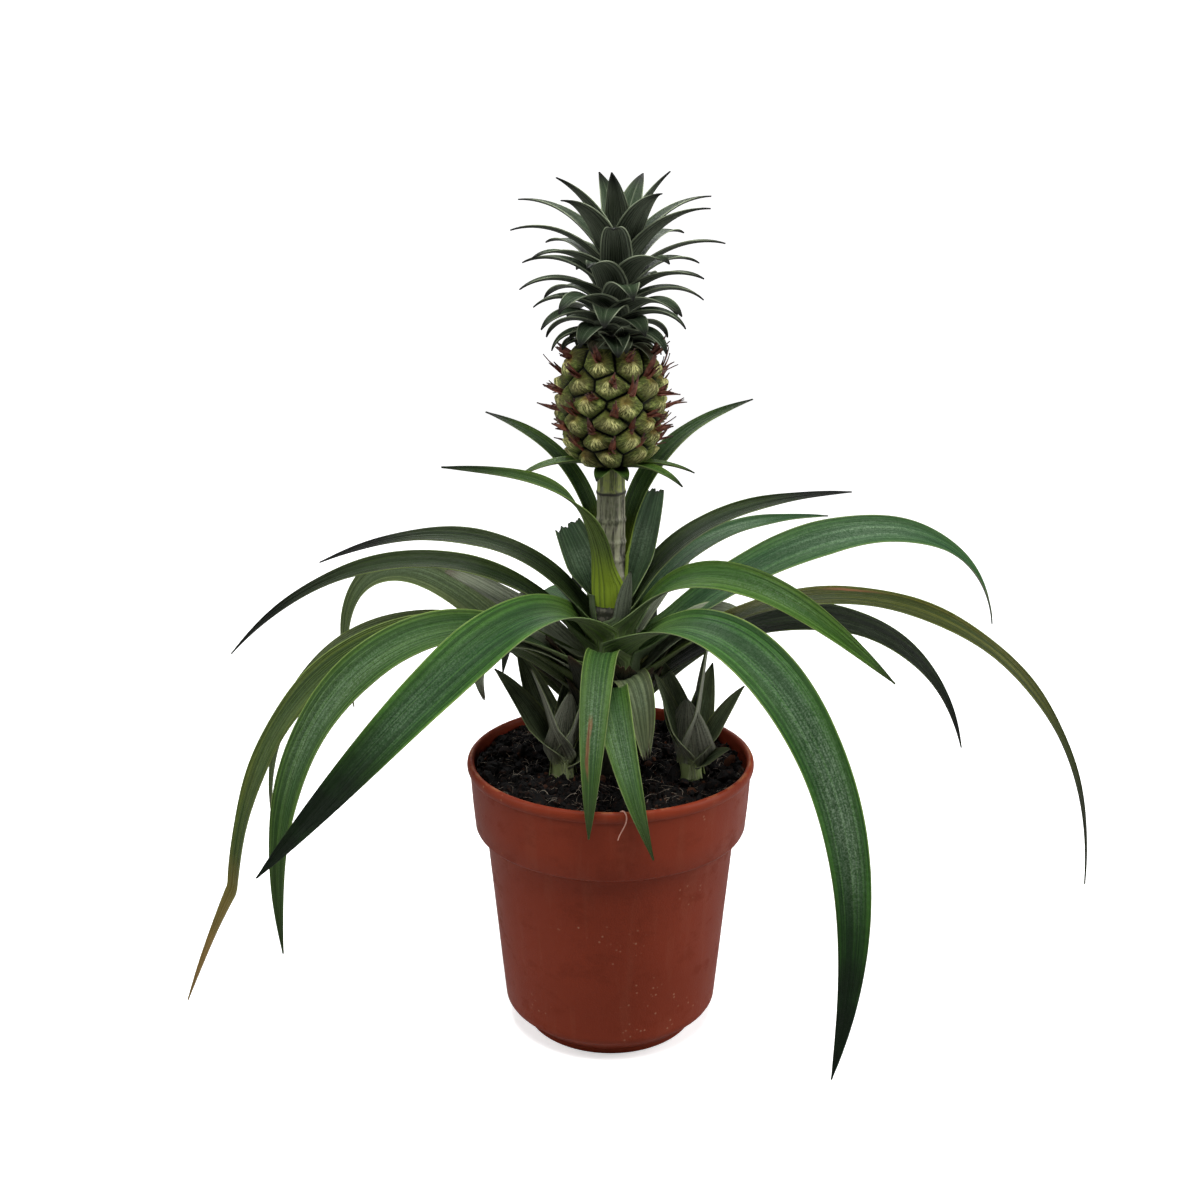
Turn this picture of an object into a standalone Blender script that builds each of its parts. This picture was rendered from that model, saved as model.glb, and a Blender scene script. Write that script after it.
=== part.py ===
"""A young pineapple plant in a round nursery pot: pot, soil, stem, leaves, shoots, fruit and crown.

Sizes are in millimetres and angles in degrees, and add_solid turns them into Blender's metres.
The origin is the middle of the pot's foot, with +Z up and the plant's front towards -Y.
An azimuth of 0 points along +X, 90 to the back and 270 to the front.
"""

import math
import random
from collections import namedtuple

import bmesh
import bpy
import numpy as np

MM = 0.001
GAP = 0.3  # clearance between neighbouring pieces
LEAF_SEAT = 0.5  # clearance between a leaf's foot and the stem
SEED = 7

# The pot
POT_HEIGHT = 120.0
RIM_RADIUS = 60.0
FOOT_RADIUS = 34.0
BEVEL_RADIUS = 45.4  # where the bevel round the foot meets the wall
BEVEL_HEIGHT = 11.5
POT_WALL = 1.6
POT_FLOOR = 2.0
POT_SIDES = 36
DRAIN_HOLES = 6
DRAIN_RADIUS = 4.0
DRAIN_RING_RADIUS = 27.0

# The soil
SOIL_TOP = 113.0
SOIL_MOUND = 7.0
SOIL_RINGS = 4

# The stem, fruit stalk and fruit
STEM_FOOT = 100.0
STEM_PROFILE = ((100, 9.5), (125, 10.0), (145, 12.0), (160, 11.0), (180, 8.0), (205, 6.0), (243.5, 5.7))
FRUIT_BOTTOM = 244.0
FRUIT_TOP = 289.0
FRUIT_MIDDLE = 268.0  # the height at which it is widest
FRUIT_HALF = 25.0  # how far its curve runs up and down from there
FRUIT_RADIUS = 18.2
FRUIT_END_RADIUS = 8.0
EYE_ROWS = 6
EYES_AROUND = 8
EYE_RELIEF = 3.0

# The crown
CROWN_TOP = 323.0
CROWN_LEAVES = 50
CROWN_LEAN = 3.0  # how far the top leans to +X
CROWN_HEART = 0.88  # the leaves above this share of the crown stand up round its middle
GOLDEN_ANGLE = 137.508

# The leaf blades
BLADE_THICKNESS = 1.1
TIP_THICKNESS = 0.8
CHANNEL_ANGLE = 24.0  # how far each half of a blade turns up, away from its foot
SHORT_LEAF = 80.0
SHORT_STEPS = 6
LONG_STEPS = 13
WIDE_LEAF = 17.0
WIDE_FOOT = 0.78  # a wide leaf's width at the stem, as a share of its full width
NARROW_FOOT = 0.92

LEAF_FIELDS = "name azimuth base rise fall bend sharp sweep length width tip roll kink"
Leaf = namedtuple("Leaf", LEAF_FIELDS, defaults=(0,))

# Leaves from the innermost to the outermost. base is the height of the foot on the stem. The midrib
# leaves at the angle rise, ends at the angle fall and is half way between at the fraction bend of its
# length, where sharp gives how suddenly it turns. sweep turns it sideways, roll twists the blade, and
# tip is the width left at the tip as a share of the leaf's own, above 0 on a leaf that was cut. kink
# lifts the last fifth of a leaf whose dry tip has folded.
LEAVES = (
    Leaf("stalk_leaf_left", 145, 213, 73, 12, 0.42, 1.5, 0, 78, 9, 0, -20),
    Leaf("stalk_leaf_right", 40, 206, 80, 9, 0.38, 1.5, 0, 100, 10, 0, 20),
    Leaf("stalk_leaf_front", 244, 195, 82, 7, 0.37, 1.3, -50, 105, 12, 0, -30),
    Leaf("leaf_cut_left", 142, 188, 66, 58, 0.50, 1.0, 0, 34, 13, 0.7, 0),
    Leaf("leaf_cut_back", 52, 187, 70, 64, 0.50, 1.0, 0, 46, 14, 0.5, 0),
    Leaf("leaf_right_upper", 30, 182, 59, -3, 0.30, 1.4, 0, 128, 12, 0, 20),
    Leaf("leaf_inner_front", 300, 180, 78, 70, 0.50, 1.0, 0, 24, 8, 0, 0),
    Leaf("leaf_left_upper", 165, 177, 60, -24, 0.35, 1.2, 0, 134, 14, 0, -20),
    Leaf("leaf_front_right_short", 338, 176, 64, -38, 0.30, 1.5, 0, 128, 16, 0, 45),
    Leaf("leaf_front_left_wide", 215, 173, 58, -42, 0.14, 1.6, -8, 178, 23, 0, -60),
    Leaf("leaf_right_thin", 42, 173, 53, -8, 0.30, 1.4, 0, 138, 12, 0, 20),
    Leaf("leaf_back_middle", 98, 170, 60, -60, 0.40, 1.4, 0, 140, 18, 0, 0),
    Leaf("leaf_left_middle", 180, 168, 56, -48, 0.43, 1.1, 0, 170, 14, 0, -25),
    Leaf("leaf_cut_right", 50, 168, 38, 30, 0.50, 1.0, 0, 58, 12, 0.6, 0),
    Leaf("leaf_front_right_wide", 312, 167, 45, -100, 0.31, 1.3, 10, 250, 22, 0, 60),
    Leaf("leaf_front_middle", 262, 163, 58, -62, 0.2, 1.6, 5, 96, 14, 0, 0),
    Leaf("leaf_right_wide", 16, 162, 40, -80, 0.70, 1.1, 10, 208, 22, 0, 35),
    Leaf("leaf_left_cut", 167, 161, 46, 30, 0.50, 1.0, 0, 68, 16, 0.5, -20),
    Leaf("leaf_right_yellow", 40, 158, 30, -5, 0.50, 1.2, 0, 138, 8, 0, 10),
    Leaf("leaf_left_bright", 200, 157, 44, -92, 0.38, 1.4, 0, 228, 20, 0, -45),
    Leaf("leaf_back_left", 120, 156, 54, -70, 0.40, 1.4, 0, 125, 18, 0, 0),
    Leaf("leaf_right_long", 352, 153, 46, -88, 0.48, 1.2, 0, 268, 15, 0, 20),
    Leaf("leaf_left_long", 190, 151, 44, -88, 0.34, 1.5, 0, 272, 18, 0, -30, 20),
    Leaf("leaf_back_right", 80, 149, 50, -70, 0.42, 1.4, 0, 150, 18, 0, 0),
    Leaf("leaf_front_low", 277, 148, 56, -62, 0.24, 1.6, 36, 92, 15, 0, 0),
    Leaf("leaf_right_dark", 6, 148, 42, -75, 0.54, 1.2, 0, 178, 13, 0, 20),
    Leaf("leaf_left_grey", 172, 146, 44, -90, 0.48, 1.2, 0, 204, 15, 0, -30),
    Leaf("leaf_right_hooked", 22, 142, 36, -90, 0.75, 2.0, 0, 78, 10, 0, 20),
    Leaf("leaf_left_thin", 161, 141, 38, -75, 0.60, 1.3, 0, 164, 6, 0, -10),
    Leaf("leaf_back_left_curled", 146, 137, 36, -100, 0.64, 2.0, 0, 208, 15, 0, -20),
)

# A shoot's place on the soil, the height and radius of its core, and its leaves from the inside out,
# each with an azimuth, rise, fall, length and width
Shoot = namedtuple("Shoot", "name x y height radius leaves")
SHOOTS = (
    Shoot("shoot_left", -20.0, -6.0, 30.0, 4.5, (
        (225, 84, 74, 33, 10), (300, 86, 78, 32, 10), (215, 76, 64, 38, 10), (320, 78, 60, 34, 10),
        (200, 62, 48, 50, 7), (262, 86, 76, 34, 12), (185, 76, 30, 44, 10),
    )),
    Shoot("shoot_right", 33.0, -7.0, 28.0, 4.8, (
        (228, 80, 76, 46, 8), (195, 78, 64, 38, 10), (330, 80, 64, 42, 12), (250, 84, 78, 32, 14),
        (345, 68, 50, 38, 8), (320, 55, 30, 20, 7),
    )),
)
SHOOT_FOOT = SOIL_TOP - 8.0

# Bracts under the fruit: azimuth, rise, fall, length and width
BRACTS = (
    (190, 35, -30, 30, 7), (345, 25, -22, 30, 7), (20, 15, -30, 26, 6),
    (245, 20, -20, 13, 6), (300, 12, -25, 15, 6), (100, 25, -25, 24, 7),
)

COLOURS = {
    "pot": (0.13, 0.030, 0.018),
    "soil": (0.006, 0.005, 0.004),
    "stalk": (0.085, 0.10, 0.045),
    "fruit": (0.11, 0.12, 0.035),
    "crown": (0.030, 0.052, 0.030),
    "leaf": (0.035, 0.075, 0.030),
    "shoot": (0.045, 0.075, 0.045),
}


def clear_scene():
    for thing in list(bpy.data.objects):
        bpy.data.objects.remove(thing, do_unlink=True)


def make_material(name, colour, roughness):
    material = bpy.data.materials.new(name)
    material.use_nodes = True
    shader = material.node_tree.nodes["Principled BSDF"]
    shader.inputs["Base Color"].default_value = (*colour, 1.0)
    shader.inputs["Roughness"].default_value = roughness
    shader.inputs["Metallic"].default_value = 0.0
    return material


def add_solid(name, points, faces, material=None):
    """Make an object of points in millimetres."""
    mesh = bpy.data.meshes.new(name)
    mesh.from_pydata([tuple(float(v) * MM for v in p) for p in points], [], [tuple(f) for f in faces])
    mesh.update()
    solid = bpy.data.objects.new(name, mesh)
    bpy.context.scene.collection.objects.link(solid)
    if material:
        mesh.materials.append(material)
    mesh.shade_smooth()
    mesh.set_sharp_from_angle(angle=math.radians(50))
    return solid


def join_by_union(name, pieces, material):
    """Fuse the pieces into the first one, as one closed body, and remove the others."""
    body = pieces[0]
    others = bpy.data.collections.new(name + "_repeats")
    bpy.context.scene.collection.children.link(others)
    for piece in pieces[1:]:
        bpy.context.scene.collection.objects.unlink(piece)
        others.objects.link(piece)
    union = body.modifiers.new("union", "BOOLEAN")
    union.operation = "UNION"
    union.operand_type = "COLLECTION"
    union.collection = others
    union.solver = "MANIFOLD"
    apply_modifiers(body)
    for piece in list(others.objects):
        bpy.data.objects.remove(piece, do_unlink=True)
    bpy.data.collections.remove(others)
    keep_largest_shell(body.data)
    body.name = name
    body.data.materials.clear()
    body.data.materials.append(material)
    return body


def keep_largest_shell(mesh):
    """Fill the small hollows that fusing seals, and drop loose scraps: both are shells of their own."""
    shape = bmesh.new()
    shape.from_mesh(mesh)
    waiting = set(shape.verts)
    shells = []
    while waiting:
        shell = []
        edge = [waiting.pop()]
        while edge:
            point = edge.pop()
            shell.append(point)
            near = {link.other_vert(point) for link in point.link_edges} & waiting
            waiting -= near
            edge.extend(near)
        shells.append(shell)
    shells.sort(key=len)
    scraps = [point for shell in shells[:-1] for point in shell]
    bmesh.ops.delete(shape, geom=scraps, context="VERTS")
    shape.to_mesh(mesh)
    shape.free()


def apply_modifiers(solid):
    evaluated = solid.evaluated_get(bpy.context.evaluated_depsgraph_get())
    mesh = bpy.data.meshes.new_from_object(evaluated)
    solid.modifiers.clear()
    solid.data = mesh


def turned(profile, sides, offset=(0.0, 0.0)):
    """Points and faces of a closed solid turned round Z from (radius, height) pairs.

    The pairs run up the outside from the foot. A ring at either end gets one flat face, and a
    radius of 0 there gets a fan.
    """
    points = []
    rings = []
    for radius, height in profile:
        first = len(points)
        if radius == 0:
            points.append((offset[0], offset[1], height))
            rings.append([first] * sides)
            continue
        for i in range(sides):
            angle = 2 * math.pi * i / sides
            x = offset[0] + radius * math.cos(angle)
            y = offset[1] + radius * math.sin(angle)
            points.append((x, y, height))
        rings.append(list(range(first, first + sides)))
    faces = []
    for low, high in zip(rings, rings[1:]):
        for i in range(sides):
            j = (i + 1) % sides
            if low[0] == low[1]:
                faces.append((low[0], high[j], high[i]))
            elif high[0] == high[1]:
                faces.append((low[i], low[j], high[0]))
            else:
                faces.append((low[i], low[j], high[j], high[i]))
    if profile[0][0] > 0:
        faces.append(rings[0][::-1])
    if profile[-1][0] > 0:
        faces.append(rings[-1])
    return points, faces


def stem_radius(height):
    heights, radii = zip(*STEM_PROFILE)
    return float(np.interp(height, heights, radii))


def midrib(start, azimuth, sweep, rise, fall, bend, sharp, length, steps, kink=0.0):
    """Points along the midrib, with the heading and pitch at each, in radians."""
    fine = steps * 4
    along = np.linspace(0, 1, fine + 1)
    gone = along**sharp
    left = (bend * (1 - along) / (1 - bend)) ** sharp
    pitch = np.radians(rise + (fall - rise) * gone / (gone + left) + kink * (along > 0.8))
    heading = np.radians(azimuth + sweep * along**1.5)
    flow = np.column_stack((np.cos(pitch) * np.cos(heading), np.cos(pitch) * np.sin(heading), np.sin(pitch)))
    moves = (flow[1:] + flow[:-1]) / 2 * length / fine
    points = np.vstack((np.zeros(3), np.cumsum(moves, axis=0))) + np.array(start)
    return points[::4], heading[::4], pitch[::4], along[::4]


def blade(start, azimuth, rise, fall, length, width, *, bend=0.5, sharp=1.0, sweep=0.0, roll=0.0,
          kink=0.0, tip=0.0, hug=12.0, foot_share=0.7, steps=12, across=4, thickness=BLADE_THICKNESS):
    """Points and faces of a channelled leaf blade that tapers to its tip.

    The upper face faces the stem at the foot, where it curves round a radius of hug. Both faces are
    split into triangles alike, so that they stay apart where the blade bends.
    """
    spine, heading, pitch, along = midrib(start, azimuth, sweep, rise, fall, bend, sharp, length, steps, kink)
    points = []
    for place, head, tilt, t in zip(spine, heading, pitch, along):
        forward = np.array((math.cos(tilt) * math.cos(head), math.cos(tilt) * math.sin(head), math.sin(tilt)))
        side = np.array((-math.sin(head), math.cos(head), 0.0))
        up = np.cross(forward, side)
        twist = math.radians(roll) * min(1.0, t / 0.45)
        flat, steep = math.cos(twist), math.sin(twist)
        side, up = side * flat + up * steep, up * flat - side * steep
        swell = foot_share + (1 - foot_share) * min(1.0, t / 0.35)
        taper = tip + (1 - tip) * (1 - t**2.2) ** 0.85
        half = max(0.7, width / 2 * swell * taper)
        foot_angle = width / 2 * foot_share / hug
        open_angle = math.radians(CHANNEL_ANGLE)
        channel = open_angle + (foot_angle - open_angle) * (1 - t) ** 4
        curve = half / channel
        thick = thickness + (min(thickness, TIP_THICKNESS) - thickness) * t
        top = []
        bottom = []
        for u in np.linspace(-1, 1, across):
            angle = channel * u
            upper = place + side * curve * math.sin(angle) + up * curve * (1 - math.cos(angle))
            normal = up * math.cos(angle) - side * math.sin(angle)
            top.append(upper)
            bottom.append(upper - normal * thick)
        points += top + bottom
    ring = 2 * across
    faces = []
    for k in range(steps):
        a, b = k * ring, (k + 1) * ring
        for i in range(across - 1):
            faces += [(a + i, b + i, b + i + 1), (a + i, b + i + 1, a + i + 1)]
            c, d = a + across, b + across
            faces += [(c + i, d + i + 1, d + i), (c + i, c + i + 1, d + i + 1)]
        last = across - 1
        faces += [(a, a + across, b + across), (a, b + across, b)]
        faces += [(a + last, b + last, b + across + last), (a + last, b + across + last, a + across + last)]
    for i in range(across - 1):
        faces += [(i, i + 1, across + i + 1), (i, across + i + 1, across + i)]
        e, f = steps * ring + i, steps * ring + across + i
        faces += [(e, f + 1, e + 1), (e, f, f + 1)]
    return points, faces


def make_pot(material):
    wall = POT_WALL
    outside = [
        (FOOT_RADIUS, 0), (BEVEL_RADIUS, BEVEL_HEIGHT), (49.0, 50.0), (52.6, 88.0), (56.5, 90.4),
        (59.0, 116.0), (RIM_RADIUS, 116.8), (RIM_RADIUS, 119.2), (59.2, POT_HEIGHT),
    ]
    inside = [
        (58.0, POT_HEIGHT), (57.3, 119.2), (56.5 - wall, 92.0), (52.6 - wall, 89.6),
        (49.0 - wall, 50.0), (BEVEL_RADIUS - wall, BEVEL_HEIGHT + 1.1), (FOOT_RADIUS - 1.0, POT_FLOOR),
    ]
    pot = add_solid("pot", *turned(outside + inside, POT_SIDES), material)
    for i in range(DRAIN_HOLES):
        angle = 2 * math.pi * i / DRAIN_HOLES
        centre = (DRAIN_RING_RADIUS * math.cos(angle), DRAIN_RING_RADIUS * math.sin(angle))
        profile = [(DRAIN_RADIUS, -2), (DRAIN_RADIUS, POT_FLOOR + 2)]
        cutter = add_solid("drain_cutter", *turned(profile, 10, centre))
        drill(pot, cutter)
    return pot


def drill(solid, cutter):
    """Cut the cutter out of the solid and remove it."""
    cut = solid.modifiers.new("cut", "BOOLEAN")
    cut.operation = "DIFFERENCE"
    cut.object = cutter
    apply_modifiers(solid)
    bpy.data.objects.remove(cutter, do_unlink=True)


def soil_height(x, y):
    """The soil's top: highest at the back left, with a gentle unevenness."""
    tilt = (y - x) / (2 * 45.0)
    ripple = math.sin(x * 0.21) * math.cos(y * 0.17) + 0.6 * math.sin(x * 0.09 - y * 0.13)
    return SOIL_TOP + SOIL_MOUND * max(0.0, tilt) ** 1.5 * 0.7 + ripple * 0.9


def make_soil(material):
    wall = POT_WALL + GAP
    outside = [
        (FOOT_RADIUS - GAP - 1.4, POT_FLOOR + GAP), (BEVEL_RADIUS - wall - 0.3, BEVEL_HEIGHT + 1.5),
        (49.0 - wall, 50.0), (52.6 - wall, 90.2), (56.5 - wall, 92.6), (57.9 - wall, 107.0),
    ]
    rings = [(57.9 - wall) * (1 - i / SOIL_RINGS) for i in range(SOIL_RINGS)]
    surface = [(radius - 0.2, SOIL_TOP) for radius in rings] + [(0, SOIL_TOP)]
    points, faces = turned(outside + surface, POT_SIDES)
    points = [(x, y, soil_height(x, y) if z == SOIL_TOP else z) for x, y, z in points]
    soil = add_solid("soil", points, faces, material)
    holes = [(0.0, 0.0, stem_radius(STEM_FOOT) + 0.5 + GAP, STEM_FOOT - GAP)]
    holes += [(s.x, s.y, s.radius + GAP, SHOOT_FOOT - GAP) for s in SHOOTS]
    for x, y, radius, floor in holes:
        profile = [(radius, floor), (radius, POT_HEIGHT + 20)]
        drill(soil, add_solid("hole_cutter", *turned(profile, 16, (x, y))))
    return soil


def make_stalk(material):
    profile = [(radius, height) for height, radius in STEM_PROFILE]
    pieces = [add_solid("stalk", *turned(profile, 14))]
    for azimuth, rise, fall, length, width in BRACTS:
        angle = math.radians(azimuth)
        start = (3.5 * math.cos(angle), 3.5 * math.sin(angle), FRUIT_BOTTOM - 6.5)
        shape = blade(start, azimuth, rise, fall, length + 3, width, hug=8.0, steps=4, across=3)
        pieces.append(add_solid("bract", *shape))
    return join_by_union("stalk", pieces, material)


def make_leaf(leaf, material):
    reach = stem_radius(leaf.base) + LEAF_SEAT
    angle = math.radians(leaf.azimuth)
    start = (reach * math.cos(angle), reach * math.sin(angle), leaf.base)
    short = leaf.length < SHORT_LEAF
    shape = blade(start, leaf.azimuth, leaf.rise, leaf.fall, leaf.length, leaf.width, bend=leaf.bend,
                  sharp=leaf.sharp, sweep=leaf.sweep, roll=leaf.roll, kink=leaf.kink, tip=leaf.tip,
                  hug=reach, foot_share=WIDE_FOOT if leaf.width >= WIDE_LEAF else NARROW_FOOT,
                  steps=SHORT_STEPS if short else LONG_STEPS, across=3 if leaf.width < 14 else 4)
    return add_solid(leaf.name, *shape, material)


def eye_centres():
    """The azimuth and height of each eye, in staggered rows."""
    pitch = (FRUIT_TOP - FRUIT_BOTTOM - 4) / EYE_ROWS
    for row in range(EYE_ROWS):
        height = FRUIT_BOTTOM + 2 + pitch * (row + 0.5)
        for i in range(EYES_AROUND):
            yield 360.0 / EYES_AROUND * (i + 0.5 * (row % 2)), height


def fruit_radius(height):
    share = (height - FRUIT_MIDDLE) / FRUIT_HALF
    return FRUIT_END_RADIUS + (FRUIT_RADIUS - FRUIT_END_RADIUS) * max(0.0, 1 - abs(share) ** 2.2) ** 0.7


def eye_relief(azimuth, height):
    """How far the skin stands out: a dome on each eye, with furrows between them."""
    tall = (FRUIT_TOP - FRUIT_BOTTOM - 4) / EYE_ROWS
    wide = 360.0 / EYES_AROUND
    best = 2.0
    for eye_azimuth, eye_height in eye_centres():
        turn = (azimuth - eye_azimuth + 180) % 360 - 180
        apart = abs(turn) / (wide * 0.56) + abs(height - eye_height) / (tall * 0.98)
        best = min(best, apart)
    return EYE_RELIEF * math.sqrt(max(0.0, 1 - best**1.6))


def make_fruit(material):
    sides = EYES_AROUND * 5
    rows = EYE_ROWS * 3
    heights = [FRUIT_BOTTOM + (FRUIT_TOP - FRUIT_BOTTOM) * i / rows for i in range(rows + 1)]
    profile = [(fruit_radius(h), h) for h in heights]
    points, faces = turned(profile, sides)
    shaped = []
    for x, y, z in points:
        radius = math.hypot(x, y)
        if radius > 0:
            azimuth = math.degrees(math.atan2(y, x))
            grown = 1 + eye_relief(azimuth, z) / radius
            x, y = x * grown, y * grown
        shaped.append((x, y, z))
    pieces = [add_solid("fruit", shaped, faces)]
    chance = random.Random(SEED)
    for azimuth, height in eye_centres():
        azimuth += chance.uniform(-4, 4)
        angle = math.radians(azimuth)
        reach = fruit_radius(height) - 1.5
        start = (reach * math.cos(angle), reach * math.sin(angle), height - 1)
        rise = chance.uniform(5, 45)
        length = chance.uniform(9, 13)
        pieces.append(add_solid("bract", *spike(start, azimuth, rise, length, 1.7)))
    return join_by_union("fruit", pieces, material)


def spike(start, azimuth, rise, length, radius):
    """Points and faces of a four-sided point, for the dried flowers and bract tips."""
    head, tilt = math.radians(azimuth), math.radians(rise)
    forward = np.array((math.cos(tilt) * math.cos(head), math.cos(tilt) * math.sin(head), math.sin(tilt)))
    side = np.array((-math.sin(head), math.cos(head), 0.0))
    up = np.cross(forward, side)
    start = np.array(start)
    corners = [start + radius * v for v in (side, up * 0.7, -side, -up * 0.7)]
    points = corners + [start + forward * length]
    faces = [(0, 1, 4), (1, 2, 4), (2, 3, 4), (3, 0, 4), (3, 2, 1, 0)]
    return points, faces


def make_crown(material):
    bottom = FRUIT_TOP + GAP
    core = [(9.5, bottom), (9.0, 305.0), (6.0, 318.0), (2.0, CROWN_TOP)]
    pieces = [add_solid("crown", *turned(core, 10))]
    chance = random.Random(SEED + 1)
    for k in range(CROWN_LEAVES):
        f = k / (CROWN_LEAVES - 1)
        azimuth = k * GOLDEN_ANGLE + chance.uniform(-4, 4)
        angle = math.radians(azimuth)
        height = bottom + 2 + (CROWN_TOP - bottom - 5) * f
        reach = 6.5 - 5.5 * f
        start = (reach * math.cos(angle) + CROWN_LEAN * f, reach * math.sin(angle), height)
        upright = max(0.0, (f - CROWN_HEART) / (1 - CROWN_HEART))
        rise = 25 + 50 * f + 12 * upright + chance.uniform(-5, 5)
        fall = -75 + 85 * f + 45 * upright + chance.uniform(-8, 8)
        length = 18 + 37 * f - 18 * upright + chance.uniform(-2, 2)
        shape = blade(start, azimuth, rise, fall, length, 12.5 - 2.5 * f, bend=0.55, hug=7.0,
                      foot_share=0.95, steps=4, across=3, thickness=1.0)
        pieces.append(add_solid("crown_leaf", *shape))
    return join_by_union("crown", pieces, material)


def make_shoot(shoot, material):
    top = SOIL_TOP + shoot.height * 0.5
    profile = [(shoot.radius, SHOOT_FOOT), (shoot.radius, SOIL_TOP + 6), (1.8, top)]
    pieces = [add_solid(shoot.name, *turned(profile, 10, (shoot.x, shoot.y)))]
    for k, (azimuth, rise, fall, length, width) in enumerate(shoot.leaves):
        angle = math.radians(azimuth)
        reach = 0.8 + 0.35 * k
        foot = SOIL_TOP + 12 - 1.3 * k
        start = (shoot.x + reach * math.cos(angle), shoot.y + reach * math.sin(angle), foot)
        shape = blade(start, azimuth, rise, fall, length, width, bend=0.6, hug=5.0, foot_share=0.8,
                      steps=4, across=3)
        pieces.append(add_solid("shoot_leaf", *shape))
    return join_by_union(shoot.name, pieces, material)


def main():
    clear_scene()
    finish = {name: make_material(name, colour, 0.6) for name, colour in COLOURS.items()}
    make_pot(finish["pot"])
    make_soil(finish["soil"])
    make_stalk(finish["stalk"])
    make_fruit(finish["fruit"])
    make_crown(finish["crown"])
    for leaf in LEAVES:
        make_leaf(leaf, make_material(leaf.name, COLOURS["leaf"], 0.45))
    for shoot in SHOOTS:
        make_shoot(shoot, make_material(shoot.name, COLOURS["shoot"], 0.5))


if __name__ == "__main__":
    main()
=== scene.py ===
"""The looks of a young pineapple plant in a nursery pot, built round its packed solids.

Shapes are worked out in millimetres and degrees, as the solids are, and Shape.build turns them into
metres. An azimuth of 0 points along +X, 90 to the back and 270 to the front.
"""

import math
import random
from collections import namedtuple

import bpy
import numpy as np
from bpy.props import FloatProperty, FloatVectorProperty, IntProperty, PointerProperty
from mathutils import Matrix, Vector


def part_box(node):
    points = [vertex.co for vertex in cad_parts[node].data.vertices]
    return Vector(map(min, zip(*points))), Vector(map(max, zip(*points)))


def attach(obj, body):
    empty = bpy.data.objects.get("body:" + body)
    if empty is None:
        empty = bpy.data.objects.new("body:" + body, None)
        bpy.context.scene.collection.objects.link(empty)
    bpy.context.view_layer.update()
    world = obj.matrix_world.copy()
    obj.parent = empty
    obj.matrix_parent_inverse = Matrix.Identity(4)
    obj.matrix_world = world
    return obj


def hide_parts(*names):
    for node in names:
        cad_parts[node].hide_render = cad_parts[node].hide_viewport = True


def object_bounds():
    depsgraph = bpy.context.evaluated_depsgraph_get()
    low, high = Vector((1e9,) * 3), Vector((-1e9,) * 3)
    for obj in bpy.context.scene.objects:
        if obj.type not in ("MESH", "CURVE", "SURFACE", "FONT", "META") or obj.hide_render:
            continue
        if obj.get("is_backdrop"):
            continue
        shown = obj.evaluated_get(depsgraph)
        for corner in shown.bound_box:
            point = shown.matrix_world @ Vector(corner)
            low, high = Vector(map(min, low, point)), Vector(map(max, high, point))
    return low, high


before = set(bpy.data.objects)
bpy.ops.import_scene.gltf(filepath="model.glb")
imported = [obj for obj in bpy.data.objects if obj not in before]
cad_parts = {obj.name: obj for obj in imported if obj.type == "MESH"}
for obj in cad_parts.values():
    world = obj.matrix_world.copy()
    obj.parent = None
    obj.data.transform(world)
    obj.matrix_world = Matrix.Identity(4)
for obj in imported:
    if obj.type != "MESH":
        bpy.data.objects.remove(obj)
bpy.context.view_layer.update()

bl_info = {
    "name": "Potted pineapple plant",
    "version": (1, 0, 0),
    "blender": (4, 5, 0),
    "location": "View3D > Sidebar > Pineapple",
    "description": "Builds the pot, soil, leaves, shoots, fruit and crown round the packed solids",
    "category": "Object",
}

MM = 0.001
BODY = "root"
SEED = 7
GOLDEN_ANGLE = 137.508
PANEL_TAB = "Pineapple"
SAME_PLACE = 0.010  # how far a fine piece may stand off the solid that it replaces, in metres

# The stem: height and radius in millimetres
STEM_PROFILE = ((100, 9.5), (125, 10.0), (145, 12.0), (160, 11.0), (180, 8.0), (205, 6.0), (243.5, 5.7))
SOIL_TOP = 113.0
SOIL_RADIUS = 56.0
STREWN_RADIUS = 55.5  # crumbs and fibres lie inside this
SOIL_MOUND = 7.0
FRUIT_BOTTOM = 244.0
FRUIT_TOP = 289.0
FRUIT_MIDDLE = 268.0  # the height at which it is widest
FRUIT_HALF = 25.0  # how far its curve runs up and down from there
CROWN_TOP = 323.0
CROWN_LEAN = 3.0
CROWN_HEART = 0.88  # the leaves above this share of the crown stand up round its middle

TOP_SCAR = 232.2  # the ring on the stalk where its green part begins
SCARS = (TOP_SCAR, 221, 212, *range(205, 127, -7))

# The pot's floor and its drain holes
FLOOR_RADIUS = 33.0
FLOOR_LOW, FLOOR_HIGH = 1.0, 2.0
DRAIN_HOLES = 6
DRAIN_RADIUS = 4.0
DRAIN_RING_RADIUS = 27.0

# A blade along its length, as shares of it
CHANNEL_ANGLE = 24.0  # how far each half of a blade turns up, away from its foot
FINE_STEPS = 3  # steps of the midrib's sum for each station of the blade
SHEATH_STEPS = 5
KINK_FROM = 0.8  # a folded leaf turns here
TWISTED_BY = 0.45  # the roll is complete here
FULL_WIDTH_BY = 0.35
WRAP_UNTIL = 0.12  # the foot clasps the stem up to here
RAGGED_FROM = 0.6  # a torn end begins here
WIDE_LEAF = 17.0
WIDE_FOOT = 0.78  # a wide leaf's width at the stem, as a share of its full width
NARROW_FOOT = 0.92

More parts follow.
